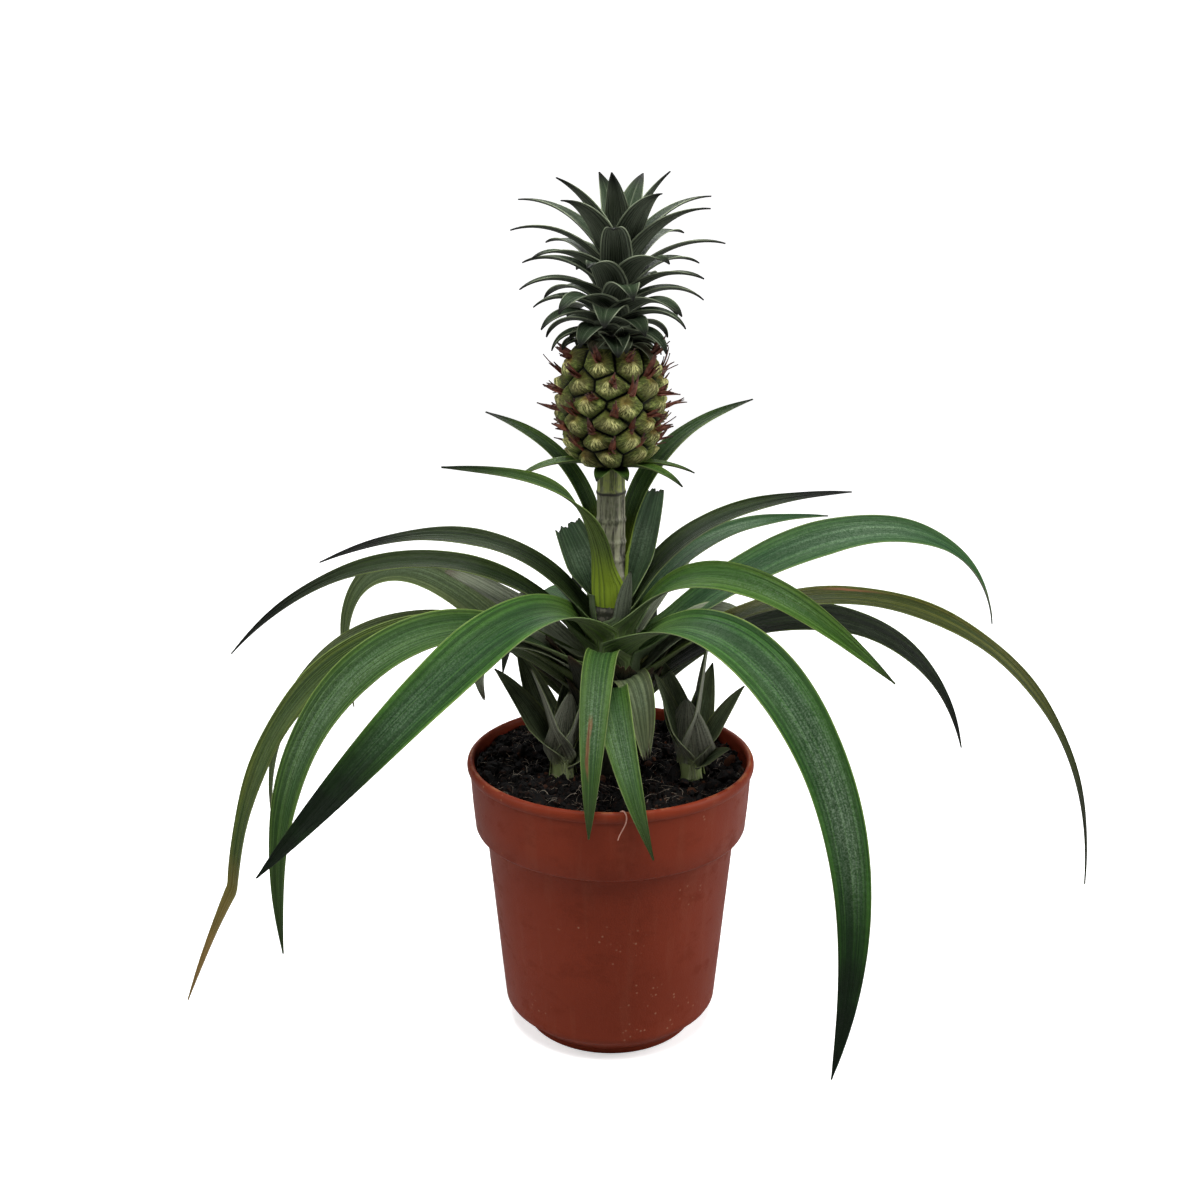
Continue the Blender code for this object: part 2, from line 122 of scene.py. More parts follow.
# What a leaf looks like: its colours, how much pale bloom and painted sheen it carries, and where its tip
# colour begins: a dry tip, and on the near-black tips painted shade.
Look = namedtuple("Look", "heart margin foot under tip bloom dry")
LOOKS = {
    # Near-black tip colours are painted shade, darkening the hanging lower ends of the leaves; the yellow,
    # brown and grey tips are dry.
    "deep": Look((0.016, 0.062, 0.012), (0.060, 0.160, 0.020), (0.10, 0.17, 0.03),
                 (0.150, 0.170, 0.110), (0.004, 0.009, 0.003), 0.40, 0.50),
    "bloom": Look((0.016, 0.064, 0.013), (0.050, 0.150, 0.018), (0.10, 0.17, 0.04),
                  (0.160, 0.185, 0.125), (0.005, 0.014, 0.004), 0.95, 0.60),
    "bright": Look((0.030, 0.084, 0.016), (0.075, 0.145, 0.024), (0.09, 0.14, 0.04),
                   (0.160, 0.185, 0.100), (0.030, 0.050, 0.012), 0.50, 0.68),
    "olive": Look((0.028, 0.042, 0.006), (0.110, 0.102, 0.012), (0.08, 0.12, 0.03),
                  (0.110, 0.120, 0.070), (0.016, 0.020, 0.006), 0.06, 0.62),
    # The grey and ash looks are pale dead leaves, their colours raised further as painted light where the
    # leaves above shade them.
    "grey": Look((0.058, 0.088, 0.030), (0.110, 0.140, 0.046), (0.12, 0.15, 0.06),
                 (0.260, 0.280, 0.200), (0.120, 0.120, 0.075), 0.35, 0.93),
    "ash": Look((0.280, 0.320, 0.215), (0.380, 0.415, 0.300), (0.12, 0.15, 0.06),
                (0.260, 0.280, 0.200), (0.110, 0.105, 0.070), 0.10, 0.90),
    "dark": Look((0.005, 0.009, 0.003), (0.014, 0.024, 0.006), (0.03, 0.05, 0.015),
                 (0.070, 0.075, 0.050), (0.004, 0.005, 0.003), 0.02, 0.75),
    "blue": Look((0.024, 0.078, 0.024), (0.055, 0.130, 0.030), (0.08, 0.13, 0.04),
                 (0.170, 0.195, 0.140), (0.016, 0.026, 0.010), 0.70, 0.95),
    "cut": Look((0.055, 0.105, 0.050), (0.100, 0.160, 0.080), (0.07, 0.11, 0.035),
                (0.170, 0.195, 0.140), (0.050, 0.070, 0.040), 0.75, 0.96),
    "slate": Look((0.012, 0.026, 0.005), (0.040, 0.062, 0.010), (0.05, 0.09, 0.02),
                  (0.100, 0.110, 0.070), (0.004, 0.006, 0.003), 0.08, 0.55),
    "yellow": Look((0.380, 0.270, 0.020), (0.260, 0.230, 0.030), (0.10, 0.12, 0.03),
                   (0.360, 0.280, 0.045), (0.200, 0.115, 0.030), 0.00, 0.90),
    "brown": Look((0.060, 0.056, 0.032), (0.095, 0.078, 0.040), (0.06, 0.06, 0.03),
                  (0.100, 0.090, 0.065), (0.330, 0.105, 0.024), 0.05, 0.78),
    "lime": Look((0.024, 0.062, 0.011), (0.075, 0.135, 0.018), (0.22, 0.31, 0.02),
                 (0.095, 0.140, 0.034), (0.008, 0.012, 0.005), 0.10, 0.70),
    "fresh": Look((0.032, 0.092, 0.012), (0.085, 0.165, 0.020), (0.09, 0.14, 0.04),
                  (0.150, 0.170, 0.110), (0.030, 0.045, 0.012), 0.30, 0.88),
    "bract": Look((0.045, 0.105, 0.014), (0.110, 0.200, 0.024), (0.10, 0.16, 0.03),
                  (0.110, 0.150, 0.050), (0.010, 0.014, 0.006), 0.10, 0.72),
    # The shoot's pale underside is raised as painted light, where the leaves above shade it.
    "shoot": Look((0.090, 0.118, 0.056), (0.160, 0.180, 0.090), (0.20, 0.25, 0.09),
                  (0.270, 0.285, 0.215), (0.060, 0.058, 0.032), 0.30, 0.96),
    # The husk colours are near black: painted shade among the old leaf bases under the rosette.
    "husk": Look((0.016, 0.020, 0.010), (0.045, 0.048, 0.026), (0.012, 0.012, 0.007),
                 (0.045, 0.048, 0.034), (0.050, 0.034, 0.018), 0.15, 0.75),
    "sere": Look((0.030, 0.058, 0.009), (0.090, 0.118, 0.018), (0.08, 0.12, 0.03),
                 (0.110, 0.120, 0.070), (0.230, 0.145, 0.045), 0.12, 0.70),
}

# A leaf's shape, then its look. The shape is the solid's: base is the height of the foot on the stem,
# the midrib leaves at the angle rise, ends at the angle fall and is half way between at the fraction
# bend of its length, where sharp gives how suddenly it turns. sweep turns it sideways, roll twists the
# blade, tip is the share of its width left at a cut end, and kink lifts the last fifth of a folded leaf.
Leaf = namedtuple("Leaf", "name look azimuth base rise fall bend sharp sweep length width tip roll kink",
                  defaults=(0,))
LEAVES = (
    Leaf("stalk_leaf_left", "lime", 145, 213, 73, 12, 0.42, 1.5, 0, 78, 9, 0, -20),
    Leaf("stalk_leaf_right", "lime", 40, 206, 80, 9, 0.38, 1.5, 0, 100, 10, 0, 20),
    Leaf("stalk_leaf_front", "lime", 244, 195, 82, 7, 0.37, 1.3, -50, 105, 12, 0, -30),
    Leaf("leaf_cut_left", "cut", 142, 188, 66, 56, 0.50, 1.0, 0, 31, 18, 0.7, -25),
    Leaf("leaf_cut_back", "cut", 50, 187, 70, 60, 0.50, 1.0, 0, 46, 19, 0.5, 25),
    Leaf("leaf_right_upper", "slate", 30, 182, 59, -3, 0.30, 1.4, 0, 128, 12, 0, 20),
    Leaf("leaf_inner_front", "blue", 300, 180, 78, 70, 0.50, 1.0, 0, 24, 8, 0, 0),
    Leaf("leaf_left_upper", "slate", 165, 177, 60, -24, 0.35, 1.2, 0, 134, 14, 0, -20),
    Leaf("leaf_front_right_short", "fresh", 338, 176, 64, -38, 0.30, 1.5, 0, 128, 16, 0, 45),
    Leaf("leaf_front_left_wide", "deep", 215, 173, 58, -42, 0.14, 1.6, -8, 178, 23, 0, -60),
    Leaf("leaf_right_thin", "blue", 42, 173, 53, -8, 0.30, 1.4, 0, 138, 12, 0, 20),
    Leaf("leaf_back_middle", "deep", 98, 170, 60, -60, 0.40, 1.4, 0, 140, 18, 0, 0),
    Leaf("leaf_left_middle", "slate", 180, 168, 56, -48, 0.43, 1.1, 0, 170, 14, 0, -25),
    Leaf("leaf_cut_right", "ash", 50, 168, 38, 30, 0.50, 1.0, 0, 58, 12, 0.6, 0),
    Leaf("leaf_front_right_wide", "bloom", 312, 167, 45, -100, 0.31, 1.3, 10, 250, 22, 0, 60),
    Leaf("leaf_front_middle", "bright", 262, 163, 58, -62, 0.2, 1.6, 5, 96, 14, 0, 0),
    Leaf("leaf_right_wide", "blue", 16, 162, 40, -80, 0.70, 1.1, 10, 208, 22, 0, 35),
    Leaf("leaf_left_cut", "ash", 167, 161, 40, 22, 0.50, 1.0, 0, 68, 18, 0.4, -15),
    Leaf("leaf_right_yellow", "yellow", 40, 158, 30, -5, 0.50, 1.2, 0, 138, 8, 0, 10),
    Leaf("leaf_left_bright", "bright", 200, 157, 44, -92, 0.38, 1.4, 0, 228, 20, 0, -45),
    Leaf("leaf_back_left", "deep", 120, 156, 54, -70, 0.40, 1.4, 0, 125, 18, 0, 0),
    Leaf("leaf_right_long", "olive", 352, 153, 46, -88, 0.48, 1.2, 0, 268, 15, 0, 20),
    Leaf("leaf_left_long", "sere", 190, 151, 44, -88, 0.34, 1.5, 0, 272, 18, 0, -30, 20),
    Leaf("leaf_back_right", "deep", 80, 149, 50, -70, 0.42, 1.4, 0, 150, 18, 0, 0),
    Leaf("leaf_front_low", "bright", 267, 148, 56, -62, 0.24, 1.6, 54, 95, 16, 0, 0),
    Leaf("leaf_right_dark", "dark", 6, 148, 42, -75, 0.54, 1.2, 0, 178, 16, 0, 45),
    Leaf("leaf_left_grey", "grey", 172, 146, 44, -90, 0.48, 1.2, 0, 204, 15, 0, -50),
    Leaf("leaf_right_hooked", "grey", 22, 142, 36, -90, 0.75, 2.0, 0, 78, 10, 0, 20),
    Leaf("leaf_left_thin", "brown", 161, 141, 38, -75, 0.60, 1.3, 0, 164, 6, 0, -10),
    Leaf("leaf_back_left_curled", "grey", 146, 137, 36, -100, 0.64, 2.0, 0, 208, 17, 0, -75),
)

# Torn and withered leaves low in the rosette, shaped as the long ones are
TORN_LEAVES = (
    Leaf("torn_left", "ash", 200, 155, 46, -105, 0.66, 1.8, 0, 68, 15, 0.1, -30),
    Leaf("torn_right", "ash", 8, 156, 48, -88, 0.66, 2.0, 0, 72, 13, 0.2, 30),
    Leaf("folded_front", "shoot", 290, 150, 64, -74, 0.36, 2.2, 0, 50, 15, 0.2, 25),
)

# Scars and dry streaks: the leaf, the place across it, its half width, and the stretch of leaf it covers
STREAKS = {
    "leaf_front_middle": (-0.35, 0.20, 0.50, 0.80),
    "leaf_right_yellow": (-0.45, 0.22, 0.25, 0.75),
    "leaf_right_long": (0.75, 0.15, 0.30, 0.42),
}

Shoot = namedtuple("Shoot", "name x y height radius leaves")
SHOOTS = (
    Shoot("shoot_left", -20.0, -6.0, 30.0, 4.5, (
        (60, 80, 68, 45, 14), (146, 72, 54, 50, 16), (322, 78, 64, 46, 15), (196, 68, 50, 52, 15),
        (228, 80, 62, 50, 20), (288, 82, 72, 38, 20), (350, 64, 44, 22, 10),
    )),
    Shoot("shoot_right", 33.0, -7.0, 28.0, 4.8, (
        (150, 78, 66, 45, 15), (40, 80, 70, 43, 14), (318, 86, 80, 56, 17), (205, 76, 64, 46, 15),
        (342, 70, 54, 43, 11), (328, 50, 26, 20, 8), (252, 84, 84, 34, 26),
    )),
)

# Bracts under the fruit: azimuth, rise, fall, length and width
BRACTS = (
    (200, 24, -30, 37, 10), (344, 20, -22, 31, 8), (323, 20, -34, 32, 9),
    (250, 10, -30, 14, 8), (290, 10, -26, 15, 8), (100, 25, -25, 30, 10),
)


def length(name, description, default):
    return FloatProperty(name=name, description=description, default=default, unit="LENGTH")


def colour(name, description, default):
    return FloatVectorProperty(name=name, description=description, default=default, subtype="COLOR")


def count(name, description, default):
    return IntProperty(name=name, description=description, default=default, min=1)


class PotSettings(bpy.types.PropertyGroup):
    """The nursery pot."""

    wall: length("Wall", "Thickness of the plastic", 0.0016)
    lip: length("Lip", "Radius of the rolled lip at the rim", 0.0016)
    plastic: colour("Plastic", "Colour of the pot", (0.176, 0.026, 0.010))
    dust: colour("Dust", "Colour of the dried splashes", (0.33, 0.16, 0.10))


class SoilSettings(bpy.types.PropertyGroup):
    """The potting soil and what lies on it."""

    crumbs: count("Crumbs", "How many crumbs lie on the soil", 4200)
    fibres: count("Fibres", "How many fibres lie on the soil", 420)
    crumb_size: length("Crumb size", "Radius of a middling crumb", 0.0007)
    peat: colour("Peat", "Colour of the dark soil", (0.0024, 0.0020, 0.0018))
    bark: colour("Bark", "Colour of the brown bits", (0.060, 0.022, 0.010))
    straw: colour("Straw", "Colour of the fibres", (0.34, 0.29, 0.22))


class LeafSettings(bpy.types.PropertyGroup):
    """The long leaves, and what every blade shares."""

    thickness: length("Thickness", "Thickness of a blade along its middle", 0.0009)
    edge: length("Edge", "Thickness of a blade at its margin", 0.0004)
    groove: length("Groove", "Depth of the grooves along a blade", 0.00012)
    bases: count("Old bases", "How many short old leaf bases wrap the stem", 18)
    # The bloom colour also paints the sheen on the long leaves, half way along where they bend.
    bloom: colour("Bloom", "Colour of the pale powder on the leaves", (0.24, 0.33, 0.22))
    rim: colour("Rim", "Colour of the thin line along the margin", (0.26, 0.36, 0.09))


class FruitSettings(bpy.types.PropertyGroup):
    """The young fruit."""

    radius: length("Radius", "Radius at the furrows half way up", 0.0182)
    end_radius: length("End radius", "Radius at the top and bottom", 0.008)
    relief: length("Relief", "How far each eye stands out", 0.003)
    rows: count("Rows", "Rows of eyes", 6)
    around: count("Around", "Eyes in a row", 8)
    skin: colour("Skin", "Colour of the green skin", (0.170, 0.225, 0.040))
    fibre: colour("Fibre", "Colour of the pale fan on each eye", (0.70, 0.68, 0.27))
    # The furrow colour is painted shade in the hollows between the eyes.
    furrow_shade: colour("Furrow", "Colour between the eyes", (0.007, 0.009, 0.004))
    flower: colour("Flower", "Colour of the dried flowers", (0.110, 0.028, 0.016))


class CrownSettings(bpy.types.PropertyGroup):
    """The crown of leaves on the fruit."""

    leaves: count("Leaves", "How many leaves the crown has", 50)
    width: length("Width", "Width of the lowest full leaves", 0.0155)
    husks: count("Husks", "How many small withered leaves stand at its foot", 16)
    heart: colour("Heart", "Colour of the leaves", (0.034, 0.058, 0.026))
    margin: colour("Margin", "Colour of their margins", (0.098, 0.128, 0.074))
    edge: colour("Edge", "Colour of the thin line along the margin", (0.34, 0.39, 0.26))


class StageSettings(bpy.types.PropertyGroup):
    """The floor, the lights and the camera."""

    floor: colour("Floor", "Colour of the floor and backdrop", (0.90, 0.90, 0.90))
    distance: length("Distance", "How far the camera stands in front", 0.560)
    height: length("Height", "Height of the camera", 0.351)
    focal: FloatProperty(name="Lens", description="Focal length", default=43.08, unit="CAMERA")
    side_light: FloatProperty(name="Side light", description="Power of each side light",
                              default=7.0, unit="POWER")
    top_light: FloatProperty(name="Top light", description="Power of the top light",
                             default=13.0, unit="POWER")


SETTINGS = {
    "pine_pot": PotSettings,
    "pine_soil": SoilSettings,
    "pine_leaf": LeafSettings,
    "pine_fruit": FruitSettings,
    "pine_crown": CrownSettings,
    "pine_stage": StageSettings,
}


class Wire:
    """One number in a finish. Sums with it become Math nodes."""

    def __init__(self, finish, socket):
        self.finish = finish
        self.socket = socket

    def sum(self, operation, first, second):
        return self.finish.node("ShaderNodeMath", {"operation": operation}, {0: first, 1: second})

    def __add__(self, other):
        return self.sum("ADD", self, other)

    def __radd__(self, other):
        return self.sum("ADD", other, self)

    def __sub__(self, other):
        return self.sum("SUBTRACT", self, other)

    def __rsub__(self, other):
        return self.sum("SUBTRACT", other, self)

    def __mul__(self, other):
        return self.sum("MULTIPLY", self, other)

    def __rmul__(self, other):
        return self.sum("MULTIPLY", other, self)

    def __truediv__(self, other):
        return self.sum("DIVIDE", self, other)

    def __abs__(self):
        return self.finish.node("ShaderNodeMath", {"operation": "ABSOLUTE"}, {0: self})

    def between(self, low, high):
        """0 below low, 1 above high and smooth between them."""
        return self.finish.node("ShaderNodeMapRange", {"interpolation_type": "SMOOTHSTEP"},
                                {"Value": self, "From Min": low, "From Max": high})


def shade(tone, share):
    """A colour made darker or lighter by a share."""
    return [c * share for c in tone]


class Finish:
    """A material under construction."""

    def __init__(self, name):
        self.material = bpy.data.materials.new(name)
        self.material.use_nodes = True
        self.tree = self.material.node_tree
        self.shader = self.tree.nodes["Principled BSDF"]

    def node(self, kind, settings=None, sockets=None, output=0):
        """Add a node, its settings first and then its sockets, and give its output."""
        made = self.tree.nodes.new(kind)
        for key, value in (settings or {}).items():
            setattr(made, key, value)
        for key, value in (sockets or {}).items():
            self.put(made.inputs[key], value)
        return Wire(self, made.outputs[output])

    def put(self, socket, value):
        if isinstance(value, Wire):
            self.tree.links.new(value.socket, socket)
        elif socket.type == "RGBA":
            socket.default_value = (*value, 1.0)
        else:
            socket.default_value = value

    def apart(self, vector):
        split = self.node("ShaderNodeSeparateXYZ", None, {0: vector})
        return [Wire(self, out) for out in split.socket.node.outputs]

    def parts(self, mark):
        """The three numbers of a mark that the piece's points carry."""
        return self.apart(self.node("ShaderNodeAttribute", {"attribute_name": mark}, output="Vector"))

    def join(self, x, y, z):
        return self.node("ShaderNodeCombineXYZ", None, {0: x, 1: y, 2: z})

    def place(self):
        """Where a point is on the object, in metres."""
        return self.node("ShaderNodeTexCoord", output="Object")

    def noise(self, scale, detail=2.0, at=None, rough=0.5):
        """Smooth noise, spread over most of 0 to 1."""
        sockets = {"Vector": at or self.place(), "Scale": scale, "Detail": detail, "Roughness": rough}
        return self.node("ShaderNodeTexNoise", None, sockets).between(0.28, 0.72)

    def cells(self, scale):
        """Distance from the nearest of many scattered points."""
        return self.node("ShaderNodeTexVoronoi", None, {"Vector": self.place(), "Scale": scale})

    def mix(self, share, first, second):
        """The first colour where share is 0, the second where it is 1."""
        settings = {"data_type": "RGBA", "clamp_factor": True}
        return self.node("ShaderNodeMix", settings, {0: share, 6: first, 7: second}, output=2)

    def coats(self, skin, *coats):
        """Lay colours over a skin one by one, each as its share and the colour."""
        for share, coat in coats:
            skin = self.mix(share, skin, coat)
        return skin

    def bump(self, height, distance, strength=1.0):
        return self.node("ShaderNodeBump", None,
                         {"Height": height, "Distance": distance, "Strength": strength})

    def close(self, **sockets):
        """Set the shader's sockets by name, with _ for a space."""
        for key, value in sockets.items():
            self.put(self.shader.inputs[key.replace("_", " ")], value)
        return self.material


def mesh_object(name, points, faces):
    """A mesh in the scene, from points in metres."""
    mesh = bpy.data.meshes.new(name)
    mesh.from_pydata(points.tolist(), [], faces)
    made = bpy.data.objects.new(name, mesh)
    bpy.context.scene.collection.objects.link(made)
    return made


class Shape:
    """Points in millimetres, faces and marks, gathered for one piece."""

    def __init__(self):
        self.points = []
        self.faces = []
        self.marks = {}
        self.count = 0

    def add(self, points, faces, **marks):
        points = np.asarray(points, float)
        faces = faces.tolist() if isinstance(faces, np.ndarray) else faces
        self.faces += [[corner + self.count for corner in face] for face in faces]
        self.points.append(points)
        self.count += len(points)
        for key, values in marks.items():
            values = np.broadcast_to(np.asarray(values, float), (len(points), 3))
            self.marks.setdefault(key, []).append(values)

    def grow(self, *place, **form):
        """Add a blade, whose place and form are as the blade function takes them."""
        points, faces, where, kind = blade(*place, **form)
        self.add(points, faces, blade=where, kind=kind)

    def build(self, name, finish, nodes=(), crease=40.0):
        """Make the piece, ride it on the plant, and let it stand for the nodes."""
        points = np.vstack(self.points) * MM
        piece = mesh_object(name, points, self.faces)
        mesh = piece.data
        for key, values in self.marks.items():
            attribute = mesh.attributes.new(key, "FLOAT_VECTOR", "POINT")
            attribute.data.foreach_set("vector", np.vstack(values).astype(np.float32).ravel())
        mesh.update()
        mesh.shade_smooth()
        mesh.set_sharp_from_angle(angle=math.radians(crease))
        mesh.materials.append(finish)
        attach(piece, BODY)
        if nodes:
            check_place(name, points, nodes)
            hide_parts(*nodes)


def check_place(name, points, nodes):
    """Raise if the piece isn't where its solids are."""
    boxes = [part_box(node) for node in nodes]
    low = np.min([box[0] for box in boxes], axis=0)
    high = np.max([box[1] for box in boxes], axis=0)
    off = max(np.abs(points.min(0) - low).max(), np.abs(points.max(0) - high).max())
    if off > SAME_PLACE:
        raise RuntimeError(f"{name} stands {off * 1000:.1f} mm off its solids")


def net(rows, ring, wrap=True):
    """Quads between rows of ring points."""
    across = np.arange(ring if wrap else ring - 1)
    down = np.arange(rows - 1)[:, None]
    near = (down * ring + across).ravel()
    side = (down * ring + (across + 1) % ring).ravel()
    return np.column_stack((near, near + ring, side + ring, side))


def turned(profile, sides, centre=(0.0, 0.0)):
    """Points and faces of (radius, height) pairs turned round Z, running down the outside."""
    profile = np.array(profile, float)
    angle = np.linspace(0, 2 * np.pi, sides, endpoint=False)
    points = np.empty((len(profile), sides, 3))
    points[..., 0] = centre[0] + profile[:, :1] * np.cos(angle)
    points[..., 1] = centre[1] + profile[:, :1] * np.sin(angle)
    points[..., 2] = profile[:, 1:]
    return points.reshape(-1, 3), net(len(profile), sides)


def around(reach, azimuth, height, x=0.0, y=0.0):
    """The point at that reach and azimuth from an upright line through x and y."""
    turn = math.radians(azimuth)
    return x + reach * math.cos(turn), y + reach * math.sin(turn), height


def stem_radius(height):
    heights, radii = zip(*STEM_PROFILE)
    return np.interp(height, heights, radii)


def soil_height(x, y):
    """The soil's top: highest at the back left, with a gentle unevenness."""
    tilt = np.maximum(0, (y - x) / 90)
    ripple = np.sin(x * 0.21) * np.cos(y * 0.17) + 0.6 * np.sin(x * 0.09 - y * 0.13)
    return SOIL_TOP + SOIL_MOUND * 0.7 * tilt**1.5 + ripple * 0.9


def direction(pitch, heading):
    """The way that a midrib runs, at each of its pitches and headings."""
    level = np.cos(pitch)
    return np.column_stack((level * np.cos(heading), level * np.sin(heading), np.sin(pitch)))


def midrib(start, azimuth, rise, fall, reach, bend, sharp, sweep, kink, stations):
    """A blade's midrib: its points, headings, pitches, and how far along it each lies, from 0 to 1."""
    fine = stations * FINE_STEPS
    along = np.linspace(0, 1, fine + 1)
    gone = along**sharp
    left = (bend * (1 - along) / (1 - bend)) ** sharp
    pitch = np.radians(rise + (fall - rise) * gone / (gone + left) + kink * (along > KINK_FROM))
    heading = np.radians(azimuth + sweep * along**1.5)
    flow = direction(pitch, heading)
    moves = (flow[1:] + flow[:-1]) / 2 * reach / fine
    spine = np.vstack((np.zeros(3), np.cumsum(moves, axis=0))) + np.array(start)
    return [values[::FINE_STEPS] for values in (spine, heading, pitch, along)]


def sheathed(spine, heading, pitch, t, sheath):
    """The midrib, carried down the stem by the depth of the sheath."""
    low = np.linspace(1, 0, SHEATH_STEPS, endpoint=False)[:, None]
    inward = np.array((math.cos(heading[0]), math.sin(heading[0]), 0.0))
    spine = np.vstack((spine[0] - low * np.array((0, 0, sheath)) - low**2 * inward * 0.8, spine))
    heading = np.concatenate((np.full(SHEATH_STEPS, heading[0]), heading))
    steep = np.linspace(np.pi / 2, pitch[0], SHEATH_STEPS, endpoint=False)
    return spine, heading, np.concatenate((steep, pitch)), np.concatenate((np.zeros(SHEATH_STEPS), t))


def blade(start, azimuth, rise, fall, reach, width, *, bend=0.5, sharp=1.0, sweep=0.0, roll=0.0,
          kink=0.0, tip=0.0, hug=12.0, foot_share=0.7, stations=60, across=13, thick=0.9, rim=0.4,
          groove=0.12, clasp=0.0, sheath=0.0, wave=0.0, chance=0.0, point=0.25, jag=0.0):
    """Points, faces and marks of a fine leaf blade along the solid's midrib.

    clasp wraps the foot further round the stem, in radians, and sheath carries it down the stem. wave
    is how far the margins ripple, jag how ragged a cut end is, and chance a number of the leaf's own.
    """
    spine, heading, pitch, t = midrib(start, azimuth, rise, fall, reach, bend, sharp, sweep, kink, stations)
    if sheath:
        spine, heading, pitch, t = sheathed(spine, heading, pitch, t, sheath)
    forward = direction(pitch, heading)
    side = np.column_stack((-np.sin(heading), np.cos(heading), np.zeros(len(t))))
    up = np.cross(forward, side)
    twist = np.radians(roll) * np.minimum(1, t / TWISTED_BY)
    flat, steep = np.cos(twist)[:, None], np.sin(twist)[:, None]
    side, up = side * flat + up * steep, up * flat - side * steep

    # Each half of the blade is an arc: half wide along it, and channel its angle
    swell = foot_share + (1 - foot_share) * np.minimum(1, t / FULL_WIDTH_BY)
    taper = tip + (1 - tip) * (1 - t**2.2) ** 0.85
    half = np.maximum(point, width / 2 * swell * taper)
    foot_angle = width / 2 * foot_share / hug
    open_angle = math.radians(CHANNEL_ANGLE)
    wrap = clasp * np.maximum(0, 1 - t / WRAP_UNTIL) ** 2
    channel = open_angle + (foot_angle - open_angle) * (1 - t) ** 4
    curve = (half / channel)[:, None]
    channel = (channel + wrap)[:, None]

    u = np.sin(np.linspace(-np.pi / 2, np.pi / 2, across))  # -1 at one margin, 1 at the other
    angle = channel * u
    ridge = groove * (np.cos(u * 15 + chance * 5) + 0.7 * np.cos(u * 8 - chance * 3))
    ridge = ridge * np.minimum(1, half / 4)[:, None] * (1 - u**4)
    metres = t * reach * MM
    swing = np.sin(metres[:, None] * 130 + 3 * chance + 1.7 * np.sign(u))
    ripple = wave * u**2 * swing * (t * (1 - t) * 4)[:, None]
    lift = curve * (1 - np.cos(angle)) + ridge + ripple
    out = curve * np.sin(angle)
    upper = spine[:, None] + side[:, None] * out[..., None] + up[:, None] * lift[..., None]
    if jag:
        ragged = (np.sin(u * 9 + chance * 6) + 0.6 * np.sin(u * 23 + chance * 9) + 1.2 * u) * jag
        share = np.clip((t - RAGGED_FROM) / (1 - RAGGED_FROM), 0, 1)[:, None] ** 2
        upper = upper - forward[:, None] * (share * np.maximum(-jag, ragged))[..., None]
    normal = up[:, None] * np.cos(angle)[..., None] - side[:, None] * np.sin(angle)[..., None]
    deep = (rim + (thick - rim) * (1 - np.abs(u) ** 3)) * (1 - 0.4 * t)[:, None]
    under = upper - normal * deep[..., None]
    points = np.concatenate((upper, under[:, ::-1]), axis=1).reshape(-1, 3)

    ring = 2 * across
    first = np.arange(across - 1)
    cap = np.column_stack((first, first + 1, ring - 2 - first, ring - 1 - first))
    last = (cap + (len(t) - 1) * ring)[:, ::-1]
    where = np.empty((len(t), ring, 3))
    where[..., 0] = np.concatenate((u, u[::-1]))
    where[..., 1] = metres[:, None]
    where[..., 2] = t[:, None]
    kind = np.zeros((len(t), ring, 3))
    kind[:, across:, 0] = 1
    kind[..., 1] = chance
    faces = np.vstack((net(len(t), ring), cap, last))
    return points, faces, where.reshape(-1, 3), kind.reshape(-1, 3)


def strand(path, radius, sides=5, point=0.3):
    """Points and faces of a thin thread along a path, thinning to a share of its radius."""
    path = np.array(path, float)
    flow = np.gradient(path, axis=0)
    flow /= np.linalg.norm(flow, axis=1)[:, None] + 1e-9
    aside = np.cross(flow, (0.3, 0.2, 0.93))
    aside /= np.linalg.norm(aside, axis=1)[:, None] + 1e-9
    over = np.cross(flow, aside)
    angle = np.linspace(0, 2 * np.pi, sides, endpoint=False)
    size = radius * np.linspace(1, point, len(path))
    ring = aside[:, None] * np.cos(angle)[None, :, None] + over[:, None] * np.sin(angle)[None, :, None]
    points = path[:, None] + ring * size[:, None, None]
    return points.reshape(-1, 3), net(len(path), sides)


def blade_lines(finish, seed=0.0):
    """Where a blade's point lies across and along it, and its slow, clear and hair-fine lines."""
    u, along, t = finish.parts("blade")
    slow = finish.noise(1.0, 2, finish.join(u * 2.2 + seed, along * 14, seed))
    clear = finish.noise(1.0, 3, finish.join(u * 11 + seed, along * 9, seed + 4))
    hair = finish.noise(1.0, 2, finish.join(u * 42 + seed, along * 60, seed + 9))
    return u, t, slow, clear, hair


